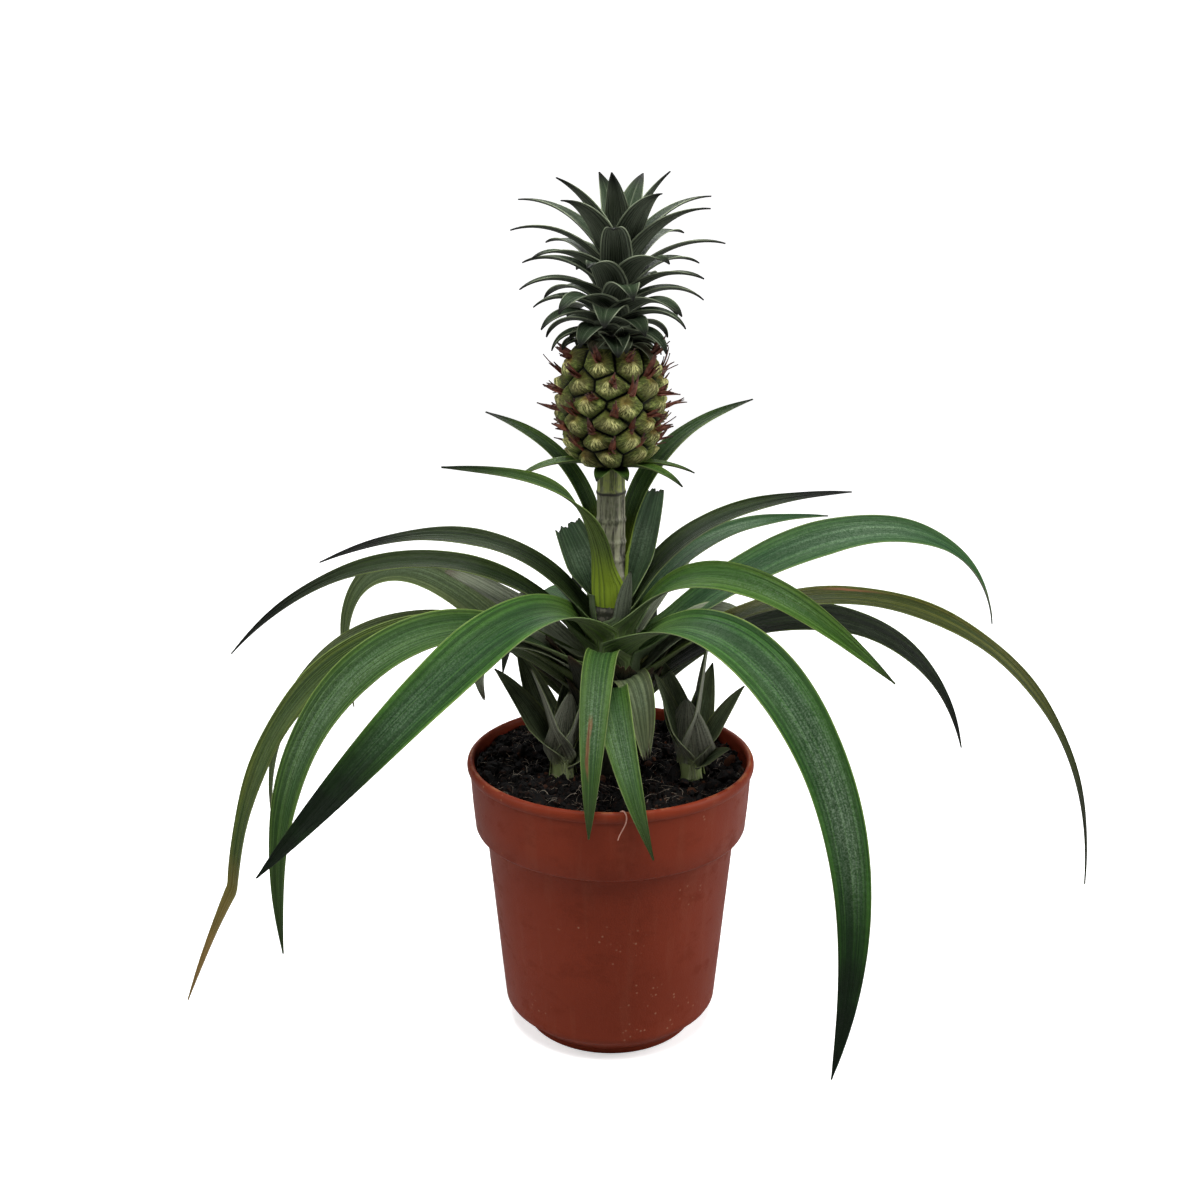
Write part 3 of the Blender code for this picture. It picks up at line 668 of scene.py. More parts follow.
def leaf_finish(name, look, seed, settings, streak=None):
    """A leaf's finish: lines, bloom and painted sheen above, silver beneath, a pale margin, and a tip that is
    dry on some looks and painted shade on the near-black ones.
    """
    finish = Finish(name)
    u, t, slow, clear, hair = blade_lines(finish, seed)
    under, _, _ = finish.parts("kind")
    edge = abs(u)
    powder = finish.noise(520, 3, rough=0.7)
    specks = finish.noise(1500, 2).between(0.35, 0.80)
    patches = finish.noise(45, 3)
    ribs = clear.between(0.30, 0.75)
    threads = 1 - clear.between(0.04, 0.30)
    dark = shade(look.heart, 0.35)
    # Real powdery bloom with painted sheen: it is held across the middle of the blade, half way along, where
    # the bent leaf would catch the light, and fades before the tip.
    reach = 0.22 + t.between(0.25, 0.58) * 0.78
    bloom = (powder * 0.35 + specks * 0.55 + 0.12) * (1 - edge.between(0.15, 0.95) * 0.9)
    bloom = bloom * (0.55 + slow * 0.55) * (1 - ribs * 0.45) * reach * (1 - t.between(0.56, 0.78))
    flesh = finish.coats(
        look.heart,
        (edge.between(0.25, 1.0) * 0.60 + (slow - 0.5) * 0.6, look.margin),
        (ribs * 0.5, dark),
        (threads * 0.35, shade(look.margin, 1.2)),
        (hair * (1 - powder) * 0.45, dark),
        (bloom * look.bloom, settings.bloom),
        (edge.between(0.94, 0.98) * (0.25 + patches * 0.4), settings.rim),
    )
    back = finish.coats(look.under, (ribs * 0.7 + hair * 0.3, shade(look.under, 0.42)),
                        (threads * 0.4 + specks * 0.2, shade(look.under, 1.5)))
    foot = (1 - t.between(0.01, 0.20)) * (0.85 - ribs * 0.45)
    skin = finish.coats(flesh, (under, back), (foot, look.foot))
    if streak:
        place, half, start, end = streak
        wander = u - place + (patches - 0.5) * 0.3
        mask = 1 - (abs(wander) / half).between(0.25, 1.0)
        mask = mask * t.between(start, start + 0.06) * (1 - t.between(end - 0.1, end))
        skin = finish.coats(skin, (mask * (0.45 + clear * 0.6), (0.24, 0.085, 0.045)),
                            (mask.between(0.75, 1.0) * ribs, (0.07, 0.025, 0.012)))
    # The tip colour, laid from the look's tip share on: a dry tip on the pale and brown looks, painted shade
    # where the tip colour is near black.
    blotches = t.between(look.dry - 0.2, 1.0) * (patches - 0.45) * 0.4
    dry = t.between(look.dry, min(1.0, look.dry + 0.32)) + blotches
    return finish.close(
        Base_Color=finish.mix(dry, skin, look.tip),
        Roughness=0.36 + bloom * 0.35 + under * 0.14 + clear * 0.08,
        Normal=finish.bump(clear * 0.6 + hair * 0.2 + powder * 0.2, 0.0006, 0.9),
        Specular_IOR_Level=0.13,
    )


def pot_finish(settings):
    """Matte moulded plastic with dried splashes, dust and soft scuffs, and a painted highlight along the top
    of the lip.
    """
    finish = Finish("terracotta_plastic")
    cloud = finish.noise(14, 4)
    grain = finish.noise(1400, 2)
    x, y, z = finish.apart(finish.place())
    drips = finish.noise(1.0, 3, finish.join(x * 160, y * 160, z * 14))
    spots = 1 - finish.cells(340).between(0.08, 0.24)
    rare = finish.noise(30, 3).between(0.62, 0.9)
    smears = finish.noise(1.0, 4, finish.join(x * 60, y * 60, z * 90), rough=0.7).between(0.55, 0.95)
    # A painted highlight: a paler band along the top of the rolled lip.
    rim_highlight = z.between(0.1195, 0.1204) * finish.noise(120, 3).between(0.45, 0.8)
    skin = finish.coats(
        settings.plastic,
        (cloud * 0.5, shade(settings.plastic, 0.72)),
        (drips.between(0.6, 1.0) * 0.04, settings.dust),
        (smears * 0.20, shade(settings.plastic, 0.5)),
        ((1 - z.between(0.004, 0.034)) * cloud * 0.35, shade(settings.plastic, 1.25)),
        (spots * rare * 0.55, settings.dust),
        (rim_highlight * 0.6, (0.30, 0.12, 0.05)),
    )
    return finish.close(
        Base_Color=skin,
        Roughness=0.40 + cloud * 0.12 + smears * 0.12 + spots * rare * 0.3,
        Normal=finish.bump(grain * 0.3 + cloud * 0.7 + spots * rare * 0.6, 0.00012, 0.6),
        Specular_IOR_Level=0.09,
    )


def soil_finish(name, dark, brown, seed=0.0):
    """Moist peat, nearly black, with brown bits in it."""
    finish = Finish(name)
    bits = finish.noise(420, 4, rough=0.7)
    lumps = finish.noise(90 + seed, 3)
    _, chance, _ = finish.parts("kind")
    skin = finish.coats(dark, (bits.between(0.60, 0.98) * 0.35 + chance.between(0.93, 0.99), brown),
                        (lumps * 0.6, shade(dark, 0.4)))
    return finish.close(
        Base_Color=skin,
        Roughness=0.72 + bits * 0.2,
        Normal=finish.bump(bits, 0.0006, 0.8),
        Specular_IOR_Level=0.12,
    )


def plain_fibre_finish(name, pale, dark):
    """A dry thread, streaked along its length."""
    finish = Finish(name)
    _, chance, _ = finish.parts("kind")
    grain = finish.noise(700, 3)
    return finish.close(
        Base_Color=finish.mix(chance * 0.75 + grain * 0.4, pale, dark),
        Roughness=0.55 + grain * 0.25,
        Normal=finish.bump(grain, 0.00005, 0.5),
    )


def stem_finish():
    """The fruit's stalk: grey-green with long cracks above; lower down, among the leaf scars, painted shade
    darkens it nearly to black.
    """
    finish = Finish("stalk_skin")
    x, y, z = finish.apart(finish.place())
    long_lines = finish.noise(1.0, 4, finish.join(x * 420, y * 420, z * 40), rough=0.65)
    pits = finish.noise(520, 3)
    patches = finish.noise(70, 3)
    scar = TOP_SCAR * MM
    ring = 1 - abs(z - scar + (patches - 0.5) * 0.0012).between(0.0002, 0.0009)
    lines = long_lines.between(0.35, 0.75)
    green = finish.mix(lines, (0.26, 0.30, 0.075), (0.075, 0.090, 0.028))
    skin = finish.coats(
        (0.240, 0.240, 0.155),
        (lines, (0.026, 0.024, 0.014)),
        (patches.between(0.3, 0.8) * 0.45, (0.085, 0.095, 0.045)),
        # Painted shade: below 180 mm, under the rosette, the stalk turns nearly black.
        (1 - z.between(0.180, 0.212), (0.016, 0.016, 0.008)),
        (z.between(scar - 0.0012, scar + 0.0013), green),
        (pits.between(0.5, 0.9) * 0.4, (0.17, 0.16, 0.12)),
        (ring, (0.02, 0.018, 0.010)),
    )
    return finish.close(
        Base_Color=skin,
        Roughness=0.6 + pits * 0.15,
        Normal=finish.bump(long_lines * 0.7 + pits * 0.3, 0.0004, 0.8),
    )


def fruit_finish(settings):
    """Eyes with a pale fibrous fan on green, and painted shade in the furrows between them."""
    finish = Finish("fruit_skin")
    angle, reach, raised = finish.parts("eye")
    _, chance, _ = finish.parts("kind")
    wide = abs(angle)
    fibres = finish.noise(1.0, 4, finish.join(angle * 11, reach * 0.5, chance * 40), rough=0.7)
    fibres = fibres.between(0.25, 0.75)
    patches = finish.noise(320, 3)
    specks = finish.noise(1300, 2)
    blotches = finish.noise(110, 4, rough=0.7).between(0.50, 0.72)
    ragged = reach + (fibres - 0.5) * 2.2
    fan = (1 - wide.between(0.40, 1.05)) * reach.between(0.5, 1.8) * (1 - ragged.between(4.6, 8.0))
    skin = finish.coats(
        settings.skin,
        (patches * 0.8, shade(settings.skin, 0.40)),
        (reach.between(4.5, 8.0) * 0.5 * (1 - chance), (0.075, 0.110, 0.040)),
        ((1 - reach.between(1.0, 4.5)) * (0.15 + chance * 0.75), (0.240, 0.130, 0.026)),
        (fibres * wide.between(0.3, 1.2) * 0.35, (0.28, 0.31, 0.08)),
        (fan * (0.20 + fibres * 0.90), settings.fibre),
        ((1 - fibres) * 0.65 * reach.between(1.0, 3.5), shade(settings.skin, 0.20)),
        (blotches * 0.55, (0.075, 0.060, 0.020)),
        # Painted shade in the furrows, where the eyes' domes fall away.
        (1 - raised.between(0.10, 0.48), settings.furrow_shade),
    )
    return finish.close(
        Base_Color=skin,
        Roughness=0.50 + specks * 0.15,
        Normal=finish.bump(fibres * 0.75 + specks * 0.25, 0.0006, 0.9),
        Specular_IOR_Level=0.20,
    )


def dried_finish(settings):
    """Dried flowers: dark red-brown, paler where they crease."""
    finish = Finish("dried_flower")
    _, _, t = finish.parts("blade")
    _, chance, _ = finish.parts("kind")
    grain = finish.noise(600, 3)
    skin = finish.coats(
        settings.flower,
        (chance * 0.7, (0.20, 0.050, 0.022)),
        (grain.between(0.5, 0.95) * 0.5, (0.30, 0.13, 0.08)),
        (t.between(0.55, 1.0) * 0.75, (0.022, 0.012, 0.010)),
    )
    return finish.close(Base_Color=skin, Roughness=0.6, Normal=finish.bump(grain, 0.0003, 0.7))


def crown_finish(settings, bloom, name="crown_leaf", withered=0.0):
    """Crown leaves: dark grey-green, with pale lines and margins and nearly black tips."""
    finish = Finish(name)
    u, t, slow, clear, hair = blade_lines(finish, 2.0)
    under, chance, _ = finish.parts("kind")
    edge = abs(u)
    powder = finish.noise(1100, 3, rough=0.7)
    patches = finish.noise(80, 3)
    ribs = clear.between(0.30, 0.75)
    dark = shade(settings.heart, 0.35)
    flesh = finish.coats(
        settings.heart,
        (edge.between(0.40, 1.0) * 0.6 + (slow - 0.5) * 0.8, settings.margin),
        (ribs * 0.65, dark),
        ((0.2 + powder * 0.7) * (0.2 + slow * 0.5) * (1 - t.between(0.4, 0.9)), shade(bloom, 0.50)),
        ((1 - clear.between(0.04, 0.28)) * 0.5, shade(settings.margin, 1.3)),
        (chance * 0.30, dark),
        ((1 - edge.between(0.02, 0.07)) * 0.5, shade(settings.edge, 0.6)),
    )
    back = finish.mix(ribs * 0.8, (0.115, 0.135, 0.095), (0.030, 0.038, 0.024))
    skin = finish.mix(under, flesh, back)
    if withered:
        skin = finish.mix(patches * withered, skin, (0.105, 0.075, 0.045))
    skin = finish.coats(skin, (edge.between(0.87, 0.96) * (0.55 + clear * 0.4), settings.edge),
                        (t.between(0.74, 0.98), (0.010, 0.011, 0.008)))
    return finish.close(
        Base_Color=skin,
        Roughness=0.45 + powder * 0.12 + under * 0.1,
        Normal=finish.bump(clear * 0.6 + hair * 0.2 + powder * 0.2, 0.0006, 0.9),
        Specular_IOR_Level=0.13,
    )


class PINE_OT_stage(bpy.types.Operator):
    """Lay the pale floor, hang the soft lights and set the camera"""

    bl_idname = "pine.stage"
    bl_label = "Stage"

    def execute(self, context):
        settings = context.scene.pine_stage
        finish = Finish("pale_paper")
        tone = finish.noise(3.0, 2)
        paper = finish.mix(tone * 0.5, settings.floor, shade(settings.floor, 0.99))
        # The paper glows towards the camera only, so that it stays pale without lighting the plant
        seen = finish.node("ShaderNodeLightPath", output="Is Camera Ray")
        paper = finish.mix(seen, shade(settings.floor, 0.5), paper)
        x, y, _ = finish.apart(finish.place())
        far = (x * x + y * y).between(0.3, 4.0) * 0.35 + 0.50
        lit = finish.mix(seen * far, (0.0, 0.0, 0.0), (1.0, 1.0, 1.0))
        finish.close(Base_Color=paper, Roughness=0.9, Specular_IOR_Level=0.1, Emission_Color=lit,
                     Emission_Strength=1.0)
        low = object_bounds()[0][2]
        flat, corner, wall = 1.9, 0.8, 2.6  # the flat floor's radius, the sweep's and the wall's height
        sides, steps = 96, 12
        profile = [(0.001, low), (0.5, low), (1.2, low), (flat, low)]
        for i in range(1, steps + 1):
            turn = math.radians(90 * i / steps)
            profile.append((flat + corner * math.sin(turn), low + corner * (1 - math.cos(turn))))
        profile.append((flat + corner, wall))
        points, faces = turned(profile, sides)
        floor = mesh_object("floor_sweep", points, faces[:, ::-1].tolist() + [list(range(sides))])
        floor.data.shade_smooth()
        floor.data.materials.append(finish.material)
        floor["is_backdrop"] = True

        world = bpy.data.worlds.new("soft_room")
        world.use_nodes = True
        sky = world.node_tree.nodes["Background"]
        sky.inputs["Color"].default_value = (1.0, 1.0, 1.0, 1.0)
        sky.inputs["Strength"].default_value = 0.16
        context.scene.world = world

        side, top = settings.side_light, settings.top_light
        for name, place, size, power in (
            ("left_light", (-0.92, -0.12, 0.62), 0.6, side),
            ("right_light", (0.92, -0.12, 0.62), 0.6, side * 1.45),
            ("top_light", (0.0, -0.42, 1.20), 0.5, top),
            ("back_light", (-0.15, 0.85, 0.95), 0.6, top * 0.5),
        ):
            self.hang(name, place, size, power)

        camera = bpy.data.cameras.new("camera")
        camera.lens = settings.focal
        camera.sensor_width = 36.0
        camera.clip_start = 0.01
        pitch = math.radians(73.7)
        place = (-0.0044, -settings.distance, settings.height)
        context.scene.camera = self.put("camera", camera, place, (pitch, 0.0, 0.0))
        context.scene.view_settings.view_transform = "Standard"
        return {"FINISHED"}

    def put(self, name, data, place, turn):
        holder = bpy.data.objects.new(name, data)
        holder.location = place
        holder.rotation_euler = turn
        bpy.context.scene.collection.objects.link(holder)
        return holder

    def hang(self, name, place, size, power):
        """Hang a square light that faces the plant's middle."""
        light = bpy.data.lights.new(name, "AREA")
        light.shape = "SQUARE"
        light.size = size
        light.energy = power
        away = np.array(place) - np.array((0.0, 0.0, 0.18))
        flat = math.hypot(away[0], away[1])
        spin = math.atan2(away[1], away[0]) + math.pi / 2
        self.put(name, light, place, (math.atan2(flat, away[2]), 0.0, spin))


class PINE_OT_pot(bpy.types.Operator):
    """Turn the nursery pot, with its lip, its stepped band and its drain holes"""

    bl_idname = "pine.pot"
    bl_label = "Pot"

    def execute(self, context):
        settings = context.scene.pine_pot
        wall = settings.wall / MM
        lip = settings.lip / MM
        low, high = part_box("pot")
        top = high[2] / MM
        rim = (high[0] - low[0]) / 2 / MM
        outside = [  # down from the band's step to the foot, in radii and heights
            (57.0, 91.0), (56.5, 90.0), (55.4, 89.4), (53.6, 89.0), (52.7, 88.4), (52.4, 87.4),
            (51.4, 76.0), (49.0, 50.0), (47.3, 31.0), (45.6, 12.6), (45.4, 10.9), (44.8, 9.9),
            (37.8, 3.6), (37.1, 2.8), (36.8, 1.7), (36.6, 0.4), (36.1, 0.0), (35.0, 0.0), (34.4, 0.4),
            (34.0, 1.0), (FLOOR_RADIUS, FLOOR_LOW),
        ]
        band = [(rim - 1.0, top - 4.0), (58.6, 112.0), (57.8, 100.0)]
        roll = [(rim - lip + lip * math.cos(a), top - lip * 0.9 - 0.9 + lip * 1.55 * math.sin(a))
                for a in np.radians(np.linspace(150, -50, 12))]
        inside = [  # up from the floor to the lip
            (FLOOR_RADIUS, FLOOR_HIGH), (33.6, 2.6), (36.0, 5.0), (44.9 - wall, 12.8), (47.4, 50.0),
            (51.0, 87.6), (52.0, 89.4), (54.6, 91.0), (55.2, 92.5), (57.2, 112.0), (rim - 2.9, top - 3.0),
        ]
        sides = 144
        points, faces = turned(inside + roll + band + outside, sides)
        shape = Shape()
        shape.add(points, faces, kind=(0, 0, 0))
        shape.add(*self.floor(sides), kind=(0, 0, 0))
        shape.build("pot_shell", pot_finish(settings), ["pot"], crease=35)
        return {"FINISHED"}

    def drum(self, name, radius, low, high, sides, centre=(0.0, 0.0)):
        """A closed drum, as an object in the scene."""
        points, faces = turned([(radius, low), (radius, high)], sides, centre)
        bottom, top = list(range(sides))[::-1], list(range(sides, 2 * sides))
        # The wall runs upwards, so its faces are turned to look outwards
        faces = faces[:, ::-1].tolist() + [bottom, top]
        return mesh_object(name, points * MM, faces)

    def floor(self, sides):
        """The pot's floor between the walls, with round drain holes through it."""
        # The floor is cut from a plate of its own, whose edge meets the wall's rings
        board = self.drum("plate", FLOOR_RADIUS, FLOOR_LOW, FLOOR_HIGH, sides)
        for i in range(DRAIN_HOLES):
            x, y, _ = around(DRAIN_RING_RADIUS, 360 * i / DRAIN_HOLES, 0)
            punch = self.drum("punch", DRAIN_RADIUS, -1.0, 4.0, 32, (x, y))
            cut = board.modifiers.new("cut", "BOOLEAN")
            cut.operation = "DIFFERENCE"
            cut.object = punch
            cut.solver = "EXACT"
            evaluated = board.evaluated_get(bpy.context.evaluated_depsgraph_get())
            board.data = bpy.data.meshes.new_from_object(evaluated)
            board.modifiers.clear()
            bpy.data.objects.remove(punch)
        points = [tuple(c / MM for c in v.co) for v in board.data.vertices]
        faces = [list(p.vertices) for p in board.data.polygons]
        bpy.data.objects.remove(board)
        return points, faces


class PINE_OT_soil(bpy.types.Operator):
    """Heap the soil, and strew it with crumbs, chips, fibres and a hanging root"""

    bl_idname = "pine.soil"
    bl_label = "Soil"

    def execute(self, context):
        settings = context.scene.pine_soil
        chance = random.Random(SEED)
        self.bed(settings)
        self.crumbs(settings, chance)
        self.fibres(settings, chance)
        self.root()
        return {"FINISHED"}

    def bed(self, settings):
        sides = 160
        body = [(32.0, 2.3), (42.7, 13.4), (47.1, 50.0), (50.7, 90.2), (54.6, 92.6), (55.7, 105.0),
                (55.9, 110.0)]
        rings = SOIL_RADIUS * np.sqrt(np.linspace(1, 0.0001, 56))
        points, faces = turned(body + [(r, SOIL_TOP) for r in rings], sides)
        points = points.reshape(-1, sides, 3)
        top = points[len(body):]
        top[..., 2] = soil_height(top[..., 0], top[..., 1])
        x, y = top[..., 0], top[..., 1]
        draw = np.random.default_rng(SEED)
        lumps = np.zeros_like(x)
        for size, high in ((5.0, 0.7), (2.6, 0.5), (1.3, 0.35)):
            for _ in range(6):
                turn, shift = draw.uniform(0, np.pi), draw.uniform(0, 6, 2)
                a = (x * np.cos(turn) + y * np.sin(turn)) / size
                b = (y * np.cos(turn) - x * np.sin(turn)) / size
                lumps += high * np.sin(a * 1.3 + shift[0]) * np.sin(b * 1.1 + shift[1]) / 2.4
        lumps += draw.uniform(-0.22, 0.22, lumps.shape)
        top[..., 2] += lumps
        shape = Shape()
        shape.add(points.reshape(-1, 3), faces[:, ::-1], kind=(0, 0, 0))
        finish = soil_finish("peat", settings.peat, settings.bark)
        shape.build("soil_bed", finish, ["soil"], crease=60)

    def spots(self, number, chance, outer=STREWN_RADIUS):
        """Places on the soil that are clear of the stem and the shoots."""
        standing = [(0.0, 0.0, 12.0)] + [(s.x, s.y, s.radius + 0.8) for s in SHOOTS]
        found = 0
        while found < number:
            reach, angle = outer * math.sqrt(chance.random()), chance.uniform(0, 2 * math.pi)
            x, y = reach * math.cos(angle), reach * math.sin(angle)
            if all(math.hypot(x - cx, y - cy) > r for cx, cy, r in standing):
                found += 1
                yield x, y, float(soil_height(x, y))

    def crumbs(self, settings, chance):
        golden = (1 + 5**0.5) / 2
        corners = np.array([(0, a, b * golden) for a in (-1, 1) for b in (-1, 1)], float)
        corners = np.vstack([np.roll(corners, k, axis=1) for k in range(3)])
        hull = icosahedron_faces(corners)
        corners /= np.linalg.norm(corners[0])
        shape = Shape()
        for x, y, z in self.spots(settings.crumbs, chance):
            size = settings.crumb_size / MM * math.exp(chance.gauss(-0.25, 0.6))
            stretch = np.array([chance.uniform(0.6, 1.5) for _ in range(3)])
            knocks = np.array([chance.uniform(0.7, 1.3) for _ in range(12)])[:, None]
            turn = chance.uniform(0, 2 * math.pi)
            cos, sin = math.cos(turn), math.sin(turn)
            lump = corners * knocks * stretch * size @ np.array(((cos, sin, 0), (-sin, cos, 0), (0, 0, 1)))
            shape.add(lump + (x, y, z + size * chance.uniform(0.0, 0.8)), hull, kind=(0, chance.random(), 0))
        shape.build("soil_crumbs", soil_finish("crumb", settings.peat, settings.bark, 9.0))

    def fibres(self, settings, chance):
        shape = Shape()
        for x, y, z in self.spots(settings.fibres, chance, outer=55.0):
            turn = chance.uniform(0, 2 * math.pi)
            reach = chance.uniform(2.5, 10)
            curl = chance.uniform(-1.6, 1.6)
            arch = chance.uniform(0.2, 1.6)
            path = []
            px, py = x, y
            steps = 7
            for k in range(steps + 1):
                f = k / steps
                ground = max(z, float(soil_height(px, py))) + 0.5
                path.append((px, py, ground + arch * math.sin(math.pi * f)))
                heading = turn + curl * f
                px += reach / steps * math.cos(heading)
                py += reach / steps * math.sin(heading)
                if math.hypot(px, py) > STREWN_RADIUS:
                    break
            if len(path) < 4:
                continue
            points, faces = strand(path, chance.uniform(0.05, 0.13), sides=4)
            shape.add(points, faces, kind=(0, chance.random(), 0))
        shape.build("soil_fibres", plain_fibre_finish("straw", settings.straw, (0.05, 0.03, 0.018)))

    def root(self):
        """A small root that hangs over the rim in front."""
        shape = Shape()
        path = [(1.5, -54.0, 112.5), (2.2, -55.6, 116.0), (3.2, -57.4, 119.6), (4.6, -59.4, 121.0),
                (5.6, -60.9, 119.6), (5.4, -60.9, 116.8), (4.2, -60.8, 114.0), (3.0, -60.9, 111.6),
                (2.4, -61.2, 109.8)]
        shape.add(*strand(smooth_path(path, 5), 0.34, sides=7, point=0.6), kind=(0, 0.2, 0))
        finish = plain_fibre_finish("root_skin", (0.50, 0.26, 0.20), (0.30, 0.12, 0.08))
        shape.build("hanging_root", finish)


def icosahedron_faces(corners):
    """The twenty faces of the corners' hull, turned outwards."""
    side = min(np.linalg.norm(corners[0] - c) for c in corners[1:]) * 1.05
    near = np.linalg.norm(corners[:, None] - corners[None], axis=2) < side
    faces = []
    for a in range(12):
        for b in range(a + 1, 12):
            for c in range(b + 1, 12):
                if near[a, b] and near[b, c] and near[a, c]:
                    out = np.cross(corners[b] - corners[a], corners[c] - corners[a]) @ corners[a]
                    faces.append((a, b, c) if out > 0 else (a, c, b))
    return faces


def smooth_path(path, times):
    """A path with times as many steps, rounded through its points."""
    path = np.array(path, float)
    fine = np.linspace(0, len(path) - 1, (len(path) - 1) * times + 1)
    slope = np.gradient(path, axis=0)
    base = np.minimum(fine.astype(int), len(path) - 2)
    f = (fine - base)[:, None]
    p, q, m, n = path[base], path[base + 1], slope[base], slope[base + 1]
    return ((2 * f**3 - 3 * f**2 + 1) * p + (f**3 - 2 * f**2 + f) * m
            + (3 * f**2 - 2 * f**3) * q + (f**3 - f**2) * n)


class PINE_OT_stalk(bpy.types.Operator):
    """Raise the stem and the fruit's stalk, with the green bracts under the fruit"""

    bl_idname = "pine.stalk"
    bl_label = "Stalk"

    def execute(self, context):
        (low, low_radius), (high, _) = STEM_PROFILE[0], STEM_PROFILE[-1]
        heights = np.arange(high, low, -0.75)
        draw = np.random.default_rng(SEED + 2)
        radii = stem_radius(heights)
        scars = np.zeros_like(heights)
        for scar in SCARS:
            scars += 0.45 * np.exp(-((heights - scar) / 0.9) ** 2)
        profile = [(0.01, high), *zip(radii + scars - 0.25, heights), (low_radius, low), (0.01, low)]
        points, faces = turned(profile, 64)
        angle = np.arctan2(points[:, 1], points[:, 0])
        flutes = sum(draw.uniform(0.02, 0.07) * np.sin(k * angle + draw.uniform(0, 6))
                     for k in (5, 9, 14, 22))
        points[:, :2] *= (1 + flutes / 6)[:, None]
        shape = Shape()
        shape.add(points, faces, kind=(0, 0, 0))
        shape.build("stem_and_stalk", stem_finish())
        bracts = Shape()
        for k, bract in enumerate(BRACTS):
            bracts.grow(around(3.5, bract[0], FRUIT_BOTTOM - 1.8), *bract, hug=2.0, stations=24,
                        across=9, chance=k / 6, wave=0.15, thick=0.8, rim=0.3)
        finish = leaf_finish("bract_green", LOOKS["bract"], 3.0, context.scene.pine_leaf)
        bracts.build("fruit_bracts", finish)
        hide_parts("stalk")
        return {"FINISHED"}


def leaf_piece(name, leaf, settings, seed, chance, jag=0.8, nodes=()):
    """Make a leaf on the stem as one piece, shaped and coloured as its entry in the list says."""
    hug = float(stem_radius(leaf.base)) + 0.5
    shape = Shape()
    shape.grow(
        around(hug, leaf.azimuth, leaf.base), leaf.azimuth, leaf.rise, leaf.fall, leaf.length,
        leaf.width, bend=leaf.bend, sharp=leaf.sharp, sweep=leaf.sweep, roll=leaf.roll, kink=leaf.kink,
        tip=leaf.tip, hug=hug, foot_share=WIDE_FOOT if leaf.width >= WIDE_LEAF else NARROW_FOOT,
        stations=max(24, int(leaf.length / 2.2)), across=25, thick=settings.thickness / MM,
        rim=settings.edge / MM, groove=settings.groove / MM, clasp=0.45, sheath=9.0, wave=0.25,
        chance=chance, jag=jag if leaf.tip else 0.0)
    finish = leaf_finish(leaf.name + "_skin", LOOKS[leaf.look], seed, settings, STREAKS.get(leaf.name))
    shape.build(name, finish, nodes)


class PINE_OT_leaves(bpy.types.Operator):
    """Grow the thirty long leaves round the stem"""

    bl_idname = "pine.leaves"
    bl_label = "Leaves"

    def execute(self, context):
        settings = context.scene.pine_leaf
        chance = random.Random(SEED + 3)
        for number, leaf in enumerate(LEAVES):
            leaf_piece("fine_" + leaf.name, leaf, settings, number * 3.7, chance.random(),
                       nodes=[leaf.name])
        return {"FINISHED"}


class PINE_OT_bases(bpy.types.Operator):
    """Wrap the stem in the short bases of old leaves, with torn and withered leaves among them"""

    bl_idname = "pine.bases"
    bl_label = "Old leaves"

    def execute(self, context):
        settings = context.scene.pine_leaf
        chance = random.Random(SEED + 9)
        for number, leaf in enumerate(TORN_LEAVES):
            leaf_piece(leaf.name, leaf, settings, 200 + number * 3.7, chance.random(), jag=2.2)
        shape = Shape()
        for k in range(settings.bases):
            f = k / (settings.bases - 1)
            azimuth = k * GOLDEN_ANGLE + 20
            base = 114 + 34 * f
            out = float(stem_radius(base)) + 0.8
            torn = k % 2
            shape.grow(
                around(out, azimuth, base), azimuth, 88 - 12 * f, 70 - 24 * f,
                44 - 16 * f + chance.uniform(-5, 5), 19, hug=out, foot_share=1.0, tip=0.35 * torn,
                stations=24, across=15, clasp=0.2, sheath=3.0, wave=0.5, chance=chance.random(),
                jag=1.5 * torn)
        # The bases' near-black colour is painted shade under the rosette.
        shape.build("old_leaf_bases", leaf_finish("old_base_skin", LOOKS["husk"], 60.0, settings))
        return {"FINISHED"}


class PINE_OT_shoots(bpy.types.Operator):
    """Grow the two shoots out of the soil"""

    bl_idname = "pine.shoots"
    bl_label = "Shoots"

    def execute(self, context):
        settings = context.scene.pine_leaf
        finish = leaf_finish("shoot_skin", LOOKS["shoot"], 8.0, settings)
        for shoot in SHOOTS:
            shape = Shape()
            top, collar, foot = SOIL_TOP + shoot.height * 0.5, SOIL_TOP + 6, SOIL_TOP - 8
            profile = [(0.01, top), (1.8, top - 0.3), (shoot.radius, collar), (shoot.radius, foot),
                       (0.01, foot)]
            points, faces = turned(profile, 32, (shoot.x, shoot.y))
            shape.add(points, faces, blade=(0, 0, 0.05), kind=(0, 0, 0))
            for k, leaf in enumerate(shoot.leaves):
                azimuth = leaf[0]
                shape.grow(
                    around(0.8 + 0.4 * k, azimuth, collar - 0.5 * k, shoot.x, shoot.y), *leaf, bend=0.6,
                    hug=3.5, foot_share=0.9, stations=34, across=19, sheath=5.0, clasp=0.2, chance=k / 7,
                    wave=0.2, roll=55 * math.cos(math.radians(azimuth)), thick=0.8, rim=0.35)
            shape.build("fine_" + shoot.name, finish, [shoot.name])
        return {"FINISHED"}


